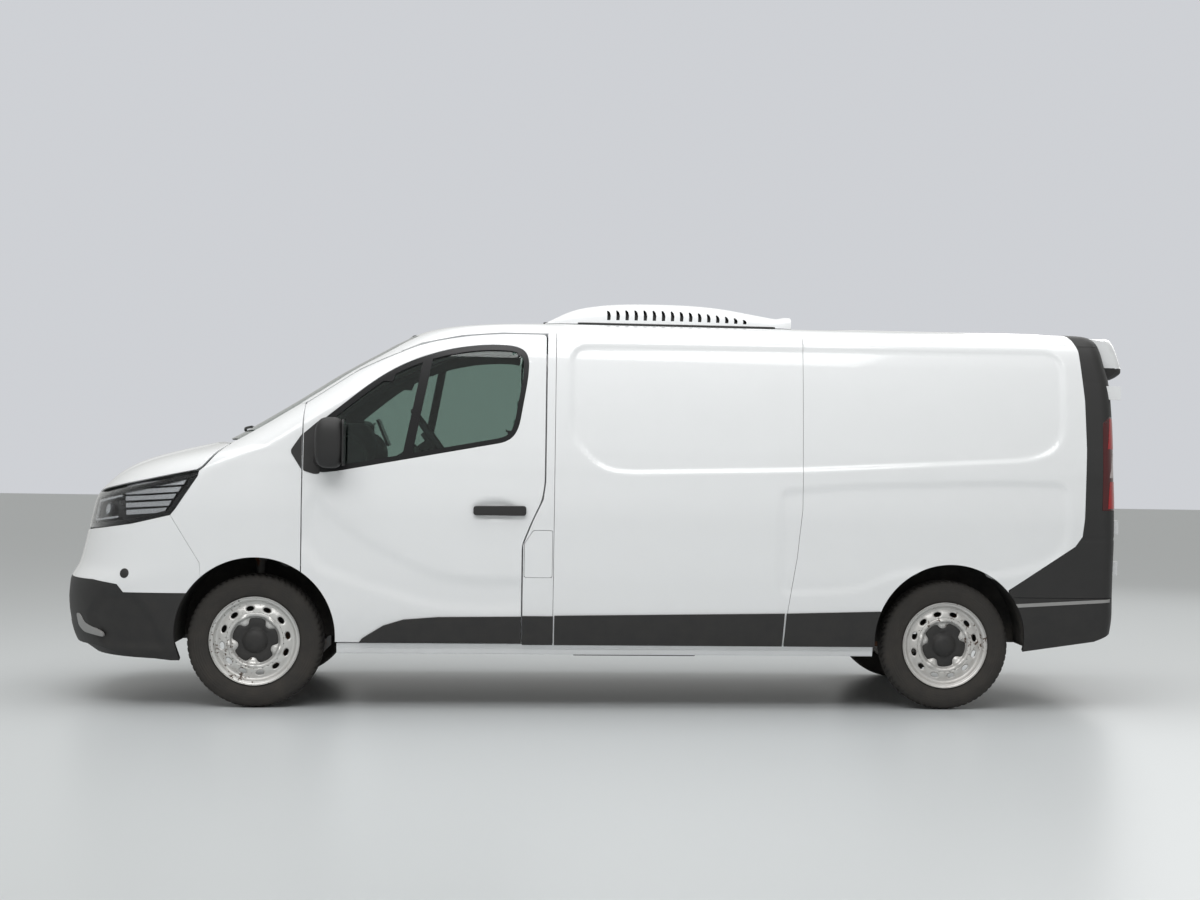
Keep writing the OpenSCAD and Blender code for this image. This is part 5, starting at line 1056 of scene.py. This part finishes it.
def lip_mesh(y0, y1, outer, z0, z1, drop=0.0):
    """The lip: its outer line carried across and drawn in towards the ends, closed by a face that follows the skin."""
    y = np.linspace(y0, y1, 60)
    z_in = np.linspace(z0, z1, 16)
    end = np.clip((np.abs(y) - 0.660) / 0.075, 0, 1) ** 2
    rows = []
    for k in range(len(y)):
        far_out = np.clip((outer[:, 0] - TAIL + 0.13) / 0.1, 0, 1)
        back = skin(*from_rear(np.c_[np.full(16, abs(y[k])), z_in]).T)
        inner = np.c_[back[:, 0] + 0.0008, z_in]
        rim = outer - [[drop, 0]] - np.c_[0.050 * end[k] * far_out, 0.012 * end[k] * (outer[:, 1] > 1.80)]
        rows.append(np.concatenate([rim, inner]))
    p = np.array([np.c_[r[:, 0], np.full(len(r), y[k]), r[:, 1]] for k, r in enumerate(rows)])
    n, m = p.shape[:2]
    return p.reshape(-1, 3), grid_faces(n, m, wrap_m=True).tolist() + [list(range(m - 1, -1, -1)), list(range((n - 1) * m, n * m))]


for side, body, span, node in (("left", "rear_door_left", (-0.735, SPLIT_Y - 0.0045), "brake_lamp_pod"),
                               ("right", "rear_door_right", (SPLIT_Y + 0.0045, 0.735), "rear_spoiler")):
    piece(f"{side}_roof_lip", body, PAINT, *lip_mesh(*span, LIP, 1.7945, 1.946), turn=True, bevel=0.002, replaces=[node])
    piece(f"{side}_lip_underside", body, PLASTIC, *lip_mesh(*span, UNDER, 1.735, 1.7925), turn=True, bevel=0.001)
lamp_bar = rounded([[-0.004, -0.014], [0.004, -0.014], [0.004, 0.014], [-0.004, 0.014]], 0.003, 4)
piece("brake_lamp_lens", "rear_door_left", RED, *swept(np.c_[np.full(20, TAIL - 0.0185), np.linspace(-0.14, 0.14, 20), np.full(20, 1.842)], lamp_bar, up=(0.25, 0, 1)), turn=True)

# ---------------------------------------------------------------- cooling unit
unit_lo, unit_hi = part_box("cooling_unit")
UX0, UX1, UW = unit_lo.x, unit_hi.x, (unit_hi.y - unit_lo.y) / 2
CREST = smooth_path([[0.0, 0.004], [0.02, 0.020], [0.10, 0.073], [0.19, 0.103], [0.33, 0.121], [0.55, 0.1230], [0.71, 0.109], [0.86, 0.077], [0.94, 0.060], [0.975, 0.068],
                     [1.0, 0.069]], 200)
ARCH_T = np.linspace(0, np.pi / 2, 400)
ARCH_Y, ARCH_Z = np.cos(ARCH_T) ** 0.4, np.sin(ARCH_T) ** 0.4
ARCH_W = np.concatenate([[0], np.cumsum(np.hypot(np.diff(ARCH_Y) * 0.56, np.diff(ARCH_Z) * 0.10))])
hood_w = ARCH_W[-1]


def hood(x, w):
    """The hood's surface: across it is a flat-topped arch, a fifth-power ellipse, as high as the crest line at each x.
    w runs from the side's foot to the middle, in metres."""
    u = (x - UX0) / (UX1 - UX0)
    high = np.interp(u, CREST[:, 0], CREST[:, 1])
    half = UW - 0.06 * np.clip(1 - u / 0.12, 0, 1) ** 2 - 0.03 * np.clip((u - 0.93) / 0.07, 0, 1) ** 2
    w = np.clip(w, 0, hood_w)
    return np.stack([x, half * np.interp(w, ARCH_W, ARCH_Y), 1.9715 + high * np.interp(w, ARCH_W, ARCH_Z)], 1)


frame_line = dense([[UX0, 0.0], [UX1, 0.0], [UX1, hood_w], [UX0, hood_w]], 0.02)
fins = []
for k in range(16):
    x0 = UX0 + 0.320 + 0.0475 * k
    tall = 0.048 * (1 - 0.45 * (k / 15.0) ** 3)
    fin = np.array([[0.0, 0.0], [0.017, 0.0], [0.019, 0.4], [0.015, 0.75], [0.006, 1.0], [-0.002, 1.0], [0.001, 0.5]])
    fins.append(dense(np.c_[fin[:, 0] + x0, 0.020 + fin[:, 1] * tall], 0.008))


def hood_mesh(sheet, tris, drop=0.0):
    """The hood for the left half and mirrored, lowered by a drop."""
    p = hood(sheet[:, 0], sheet[:, 1]) - [0, 0, drop]
    p[sheet[:, 1] > hood_w - 1e-6, 1] = 0
    return joined([(p * [1, -1, 1], tris), (p, tris[:, ::-1])])


sheet, tris = filled(frame_line, fins, 0.016)
piece("cooling_hood", "root", UNIT_SHELL, *hood_mesh(sheet, tris), replaces=["cooling_unit"], solid=0.004, bevel=0.001, weld=True, turn=False)
sheet, tris = filled(dense(np.array([[UX0 + 0.03, 0.0], [UX1 - 0.03, 0.0], [UX1 - 0.03, hood_w], [UX0 + 0.03, hood_w]]), 0.04), (), 0.04)
core = hood_mesh(sheet, tris, 0.0)
core[0][:, 1] *= 0.965
core[0][:, 2] -= 0.014
piece("cooling_core", "root", PLASTIC, *core, weld=True)
gasket = rounded(np.array([[UX0 - 0.010, -UW + 0.055], [UX0 + 0.16, -UW - 0.003], [UX1 - 0.08, -UW - 0.003], [UX1 + 0.006, -UW + 0.03], [UX1 + 0.006, UW - 0.03],
                           [UX1 - 0.08, UW + 0.003], [UX0 + 0.16, UW + 0.003], [UX0 - 0.010, UW - 0.055]]), 0.05, 6)
ground = np.c_[gasket, np.full(len(gasket), 1.9625)]
n = len(ground)
ring_pts = np.concatenate([ground + [0, 0, -0.012], ground + [0, 0, 0.0165]])
piece("cooling_gasket", "root", PLASTIC, ring_pts, [[k, (k + 1) % n, n + (k + 1) % n, n + k] for k in range(n)] + [list(range(n, 2 * n)), list(range(n - 1, -1, -1))],
      turn=True, bevel=0.002)

# Black skirts inside the wheel arches.
skirts = []
for centre, first, last in ((FRONT_ARCH, -2, 186), (REAR_ARCH, -2, 182)):
    t = np.radians(np.linspace(first, last, 90))
    for sign in (-1, 1):
        rows = [np.c_[centre + (ARCH_R + r) * np.cos(t), np.full(90, sign * across), ARCH_TOP + (ARCH_R + r) * np.sin(t)]
                for across, r in ((0.925, 0.004), (0.925, 0.007), (0.620, 0.007), (0.620, 0.004))]
        skirts.append((np.stack(rows, 1).reshape(-1, 3), grid_faces(90, 4, wrap_m=True).tolist() + [[3, 2, 1, 0], [356, 357, 358, 359]]))
piece("arch_skirts", "root", LINER, *joined(skirts), turn=True)

# ---------------------------------------------------------------- wheels
RIM_R, TYRE_R, TYRE_H = 0.220, 0.334, 0.1025
half_tyre = [[0.216, 0.0786], [0.226, 0.088], [0.240, 0.0955], [0.262, 0.1005], [0.282, 0.1022], [0.300, 0.0995], [0.314, 0.094],
             [0.3235, 0.086], [0.3295, 0.073], [0.3325, 0.055], [0.334, 0.030], [0.3342, 0.0]]
tread = smooth_path(half_tyre, 66)
tyre_profile = np.concatenate([tread, (tread * [1, -1])[::-1][1:], [[0.206, -0.0786], [0.205, 0.0], [0.206, 0.0786]]])
PITCH = 62


def tread_ripple(t, r, w):
    """Ring grooves, slanting slots between the tread blocks, and fine rings on the sidewall."""
    on = np.clip((r - 0.3275) / 0.003, 0, 1)
    grooves = sum(np.clip(1 - np.abs(np.abs(w) - c) / 0.0048, 0, 1) ** 0.5 for c in (0.018, 0.050))
    phase = (t * PITCH / (2 * np.pi) + np.abs(w) * 9.0) % 1.0
    slots = np.clip((0.22 - np.abs(phase - 0.5)) / 0.08, 0, 1) * np.clip((np.abs(w) - 0.026) / 0.004, 0, 1)
    shoulder = np.clip((r - 0.315) / 0.004, 0, 1) * (1 - on)
    rings = 0.0006 * np.sin((r - 0.230) * 2 * np.pi / 0.012) * np.clip((r - 0.228) / 0.01, 0, 1) * (r < 0.300)
    depth = on * np.maximum(grooves, slots) * 0.0065 + shoulder * slots * 0.003
    return r - depth, w + np.sign(w) * rings * (r < 0.310)


rim_path = smooth_path([[0.2195, 0.0950], [0.2212, 0.0915], [0.2185, 0.0850], [0.2120, 0.0805], [0.2060, 0.0785], [0.2030, 0.0720], [0.2010, 0.0640],
                        [0.1955, 0.0560], [0.1890, 0.0530], [0.1840, 0.0535]], 44)
inner_path = smooth_path([[0.1400, 0.0672], [0.1340, 0.0690], [0.1280, 0.0680], [0.1225, 0.0625], [0.1170, 0.0540], [0.1100, 0.0490], [0.0980, 0.0470], [0.0600, 0.0470]], 40)
back_path = smooth_path([[0.2195, -0.0950], [0.2212, -0.0915], [0.2150, -0.0810], [0.2040, -0.0780], [0.1980, -0.0600], [0.1930, 0.0200], [0.1950, 0.0400], [0.1985, 0.0560]], 30)
DISC = np.array([[0.1840, 0.0535], [0.1780, 0.0560], [0.1700, 0.0600], [0.1620, 0.0632], [0.1500, 0.0658], [0.1400, 0.0672]])


def rim_mesh():
    """One sector of the disc with its oval hole, twelve times round, between the turned flange and the turned middle."""
    mid = 0.162
    wide = 2 * np.pi / 12 * mid
    sector = dense([[-wide / 2, 0.140], [wide / 2, 0.140], [wide / 2, 0.184], [-wide / 2, 0.184]], wide / 8)
    t = np.linspace(0, 2 * np.pi, 28, endpoint=False)
    oval = np.c_[0.0195 * np.sign(np.cos(t)) * np.abs(np.cos(t)) ** 0.85, 0.162 + 0.012 * np.sin(t)]
    flat, tris = filled(sector, [oval], 0.006)
    edge = np.linalg.norm((flat - [0, 0.162]) / [0.0195, 0.012], axis=1)
    w = np.interp(flat[:, 1], DISC[::-1, 0], DISC[::-1, 1]) - 0.0035 * np.clip((1.35 - edge) / 0.35, 0, 1)
    parts = []
    for k in range(12):
        a = flat[:, 0] / mid + k * np.pi / 6 + np.pi / 12
        parts.append((np.stack([flat[:, 1] * np.cos(a), -w, flat[:, 1] * np.sin(a)], 1), tris.tolist()))

    def lobes(t, r, w):
        turn = (t - np.radians(270) + np.pi / 5) % (2 * np.pi / 5) - np.pi / 5
        d = np.hypot(turn * 0.112, r - 0.110)
        return r, w + 0.014 * np.exp(-(d / 0.024) ** 4)
    parts += [lathe(rim_path, 96), lathe(inner_path, 160, lobes), lathe(back_path, 96)]
    return joined(parts)


def hub_cap_mesh():
    """A black cover whose edge is bitten by five round scallops, with a raised boss."""
    t = np.linspace(0, 2 * np.pi, 200, endpoint=False)[:, None]
    share = np.array([0.0, 0.12, 0.28, 0.42, 0.49, 0.52, 0.56, 0.66, 0.78, 0.90, 0.97, 1.0, 0.985])[None, :]
    high = np.array([0.0800, 0.0800, 0.0790, 0.0700, 0.0630, 0.0580, 0.0555, 0.0575, 0.0580, 0.0560, 0.0530, 0.0500, 0.0470])[None, :]
    turn = (t - np.radians(270) + np.pi / 5) % (2 * np.pi / 5) - np.pi / 5
    edge = 0.1165 - 0.028 * np.exp(-(turn / 0.23) ** 4)
    inner = np.clip((share - 0.5) / 0.5, 0, 1)
    r = share * (0.1165 * (1 - inner) + edge * inner)
    rib = 0.0012 * np.cos(5 * (t - np.radians(270))) * inner
    p = np.stack([r * np.cos(t), -(high - rib), r * np.sin(t)], 2).reshape(-1, 3)
    return p, grid_faces(200, share.shape[1], wrap_n=True)


RIM, CAP_MESH, TYRE = rim_mesh(), hub_cap_mesh(), lathe(tyre_profile, PITCH * 8, tread_ripple)
BRAKE = lathe(rounded([[0.060, 0.017], [0.146, 0.017], [0.146, -0.009], [0.060, -0.009]], 0.002, 3)[::-1], 96)
for side, sign in (("left", -1), ("right", 1)):
    for end, axle, paint in (("front", FRONT_AXLE, RIM_FRONT), ("rear", REAR_AXLE, RIM_REAR)):
        wheel = f"{end}_{side}"
        lo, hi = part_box(f"{wheel}_tyre")
        centre = np.array([axle, (lo.y + hi.y) / 2, (lo.z + hi.z) / 2])
        flip = np.array([1, 1 if sign < 0 else -1, 1])
        angle = {"front_left": 0.10, "rear_left": 0.55, "front_right": 0.3, "rear_right": 0.8}[wheel]
        roll = np.array([[np.cos(angle), 0, np.sin(angle)], [0, 1, 0], [-np.sin(angle), 0, np.cos(angle)]])
        put = lambda m: ((m[0] @ roll.T) * flip + centre, m[1])
        piece(f"{wheel}_tyre_tread", f"{wheel}_wheel", RUBBER, *put(TYRE), turn=True, sharp=32, replaces=[f"{wheel}_tyre"])
        obj = piece(f"{wheel}_rim_steel", f"{wheel}_wheel", paint, *put(RIM), weld=True, replaces=[f"{wheel}_rim"], turn=True)
        wall = obj.modifiers.new("wall", "SOLIDIFY")
        wall.thickness, wall.offset = 0.003, 0
        piece(f"{wheel}_hub_cap", f"{wheel}_wheel", PLASTIC, *put(CAP_MESH), turn=True)
        piece(f"{wheel}_brake_disc", f"{wheel}_wheel", CAST, *put(BRAKE), turn=True)

# ---------------------------------------------------------------- cab
dash = rounded(np.array([[-0.129, 0.700], [0.060, 0.700], [0.160, 0.860], [0.182, 1.066], [0.290, 1.130], [0.330, 1.285], [0.285, 1.372], [0.150, 1.425],
                         [-0.129, 1.400]]) + [DOOR_FRONT, 0], 0.05, 6)
y = np.linspace(-0.775, 0.775, 121)
bow = 0.03 * (np.abs(y) / 0.775) ** 4
binnacle = np.exp(-((y + 0.430) / 0.16) ** 4)
stack = np.exp(-(y / 0.19) ** 4)
rearward = np.clip((dash[None, :, 0] - DOOR_FRONT - 0.12) / 0.16, 0, 1)
x = dash[None, :, 0] + rearward * (0.030 * stack[:, None] - 0.03 * (1 - stack[:, None] - binnacle[:, None]))
z = dash[None, :, 1] + (0.060 * binnacle[:, None] * rearward - bow[:, None]) * (dash[None, :, 1] > 1.2)
m = dash.shape[0]
points = np.stack([x, y[:, None] * np.ones_like(x), z * np.ones_like(x)], 2).reshape(-1, 3)
piece("dashboard_moulding", "root", CAB, points, grid_faces(121, m, wrap_m=True).tolist() + [list(range(m - 1, -1, -1)), list(range(120 * m, 121 * m))], turn=True,
      replaces=["dashboard"], sharp=60)
screen_plate = rounded([[-0.11, -0.075], [0.11, -0.075], [0.11, 0.075], [-0.11, 0.075]], 0.01, 4)
piece("dash_screen", "root", GLOSS, *swept([[DOOR_FRONT + 0.325, 0.0, 1.385], [DOOR_FRONT + 0.337, 0.0, 1.390]], screen_plate), turn=True)
column_way = np.array([np.sin(np.radians(54)), 0, np.cos(np.radians(54))])
hub_at = np.array([DOOR_FRONT + 0.618, -0.430, 1.355])
piece("column_shroud", "root", CAB, *swept([hub_at - column_way * d for d in (0.50, 0.30, 0.10, 0.0925)], rounded([[-0.05, -0.04], [0.05, -0.04], [0.05, 0.04], [-0.05, 0.04]], 0.03, 6),
                                        scale=[1.1, 1.1, 0.95, 0.85]), turn=True)


def padded_block(centre, size, lean=0.0, channels=(), crown=0.12, power=(5, 4.2)):
    """A crowned cushion: a power ellipsoid pinched at its rim seam, with sewn channels across its width."""
    def shape(p):
        q = p.copy()
        q[:, 2] *= 1 - crown * (p[:, 0] ** 2 + p[:, 1] ** 2) * 0.5
        for c in channels:
            q[:, 2] -= 0.10 * np.exp(-((p[:, 1] - c) / 0.03) ** 2) * (p[:, 2] > 0)
        q[:, :2] *= (1 - 0.02 * np.exp(-(p[:, 2] / 0.12) ** 2))[:, None]
        return q
    p, faces = blob((0, 0, 0), size, power, (56, 112), shape)
    c, s = np.cos(lean), np.sin(lean)
    return np.c_[p[:, 0] * c + p[:, 2] * s, p[:, 1], -p[:, 0] * s + p[:, 2] * c] + np.asarray(centre), faces


def seat(name, node, y, wide, heads):
    """A cushion, a leaning backrest and its headrests, over a plain base."""
    lo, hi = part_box(node)
    x0 = lo.x
    cushion = padded_block((x0 + 0.235, y, 0.805), (0.230, wide / 2 - 0.01, 0.064), 0.03, (-0.45, 0.45))
    back = padded_block((x0 + 0.545, y, 1.135), (0.300, wide / 2 - 0.02, 0.068), np.radians(-79), (-0.45, 0.45))
    for label, mesh, fill in (("cushion", cushion, 0.7), ("backrest", back, 0.7)):
        obj = piece(f"{name}_{label}", "root", CLOTH, *mesh, replaces=[node], weld=True, turn=True)
    for k, head_y in enumerate(heads):
        head = padded_block((x0 + 0.622, head_y, 1.560), (0.105, 0.125, 0.040), np.radians(-86), ())
        obj = piece(f"{name}_headrest_{k + 1}", "root", CLOTH, *head, replaces=[node], weld=True, turn=True)
        rods = [swept([[x0 + 0.612, head_y + d, 1.38], [x0 + 0.622, head_y + d, 1.50]], circle(0.007, 10), up=(0, 1, 0)) for d in (-0.06, 0.06)]
        piece(f"{name}_headrest_rods_{k + 1}", "root", CAST, *joined(rods), turn=True)
    base = rounded(np.array([[x0 + 0.08, y - wide / 2 + 0.04], [x0 + 0.44, y - wide / 2 + 0.04], [x0 + 0.44, y + wide / 2 - 0.04], [x0 + 0.08, y + wide / 2 - 0.04]]), 0.03, 5)
    n = len(base)
    points = np.concatenate([np.c_[base, np.full(n, 0.500)], np.c_[base, np.full(n, 0.745)]])
    piece(f"{name}_base", "root", CAB, points, [[k, (k + 1) % n, n + (k + 1) % n, n + k] for k in range(n)] + [list(range(n, 2 * n)), list(range(n - 1, -1, -1))], turn=True)


seat("driver", "driver_seat", -0.430, 0.50, (-0.430,))
seat("bench", "passenger_bench", 0.355, 0.85, (0.130, 0.560))

# Wipers, and the small cap above the windscreen.
for k, (y0, y1) in enumerate(((0.62, -0.02), (-0.04, -0.66))):
    ys = np.linspace(y0, y1, 40)
    at = from_front(np.c_[np.abs(ys), 1.3456 + 0.030 + 0.020 * np.linspace(0, 1, 40)])
    p = skin(*at.T) + outward(*at.T) * 0.010
    p[:, 1] *= np.sign(ys)
    piece(f"wiper_{k + 1}", "root", PLASTIC, *swept(p, rounded([[-0.005, -0.006], [0.005, -0.006], [0.004, 0.006], [-0.004, 0.006]], 0.002, 3)), turn=True)
cap_at = from_front([[0.05, 1.893]]).T
spot = skin(*cap_at)[0]
piece("roof_cap", "root", PLASTIC, *blob((spot[0] + 0.02, 0.0, spot[2] + 0.008), (0.035, 0.028, 0.018), (2.6, 2.4), (24, 36)), weld=True)

# ---------------------------------------------------------------- finishes of the frame nodes that show
for names, mat in ((("underbody",), FLOOR_METAL), (("frame_rails", "front_subframe", "rear_axle"), STEEL), (("cab_frame", "sills", "hinges"), PAINT),
                   (("wheel_arch_liners",), LINER), (("bulkhead",), LINING), (("engine",), ENGINE), (("fuel_tank",), PLASTIC), (("exhaust",), EXHAUST),
                   (("left_knuckle", "right_knuckle"), CAST), (("steering_wheel",), CAB)):
    for name in names:
        nodes[name].data.materials.clear()
        nodes[name].data.materials.append(mat)

# ---------------------------------------------------------------- floor, light and camera
floor = bpy.data.materials.new("studio_floor")
floor.use_nodes = True
shader = floor.node_tree.nodes["Principled BSDF"]
shader.inputs["Base Color"].default_value = (0.52, 0.54, 0.55, 1)
shader.inputs["Roughness"].default_value = 0.35
ground_mesh = bpy.data.meshes.new("floor")
ground_mesh.from_pydata([(-40, -40, 0), (40, -40, 0), (40, 40, 0), (-40, 40, 0)], [], [(0, 1, 2, 3)])
ground_mesh.materials.append(floor)
ground_obj = bpy.data.objects.new("floor", ground_mesh)
bpy.context.scene.collection.objects.link(ground_obj)

world = bpy.data.worlds.new("studio")
bpy.context.scene.world = world
world.use_nodes = True
tree = world.node_tree
tree.nodes.clear()
path = add(tree, "LightPath")
lit = add(tree, "Background", {"Color": (0.965, 0.975, 0.955, 1), "Strength": 0.56})
seen = add(tree, "Background", {"Color": (0.62, 0.635, 0.665, 1), "Strength": 1.0})
which = add(tree, "MixShader", {0: path.outputs["Is Camera Ray"], 1: lit.outputs[0], 2: seen.outputs[0]})
tree.links.new(which.outputs[0], add(tree, "OutputWorld").inputs[0])


def softbox(name, at, aim, size, power):
    lamp = bpy.data.lights.new(name, "AREA")
    lamp.shape, lamp.size, lamp.size_y, lamp.energy = "RECTANGLE", *size, power
    obj = bpy.data.objects.new(name, lamp)
    obj.location = at
    obj.rotation_euler = (Vector(aim) - Vector(at)).to_track_quat("-Z", "Y").to_euler()
    bpy.context.scene.collection.objects.link(obj)


softbox("top_light", (0, -0.5, 6.5), (0, 0, 0), (9, 6), 290)
softbox("side_light", (-1.5, -7.5, 7.6), (0, 0, 0.8), (9, 3.5), 395)
softbox("rear_light", (6, 7, 5.0), (0, 0, 0.8), (6, 4), 150)

camera_data = bpy.data.cameras.new("camera")
camera = bpy.data.objects.new("camera", camera_data)
bpy.context.scene.collection.objects.link(camera)
bpy.context.scene.camera = camera
YAW, PITCH_UP, ROLL, FOCAL = 0.1253, -0.0208, 0.0173, 2241.8
ahead = np.array([np.sin(YAW) * np.cos(PITCH_UP), np.cos(YAW) * np.cos(PITCH_UP), np.sin(PITCH_UP)])
flat_right = np.array([np.cos(YAW), -np.sin(YAW), 0])
upright = np.cross(flat_right, ahead)
right = np.cos(ROLL) * flat_right + np.sin(ROLL) * upright
top = -np.sin(ROLL) * flat_right + np.cos(ROLL) * upright
camera.matrix_world = Matrix([[right[k], top[k], -ahead[k], at] for k, at in enumerate((-0.3409, -12.3304, 1.3501))] + [[0, 0, 0, 1]])
camera_data.sensor_width = 36
camera_data.lens = FOCAL / 1200 * 36
camera_data.shift_x = (600 - 818.6) / 1200
camera_data.shift_y = (493.8 - 450) / 1200
bpy.context.scene.view_settings.view_transform = "Standard"
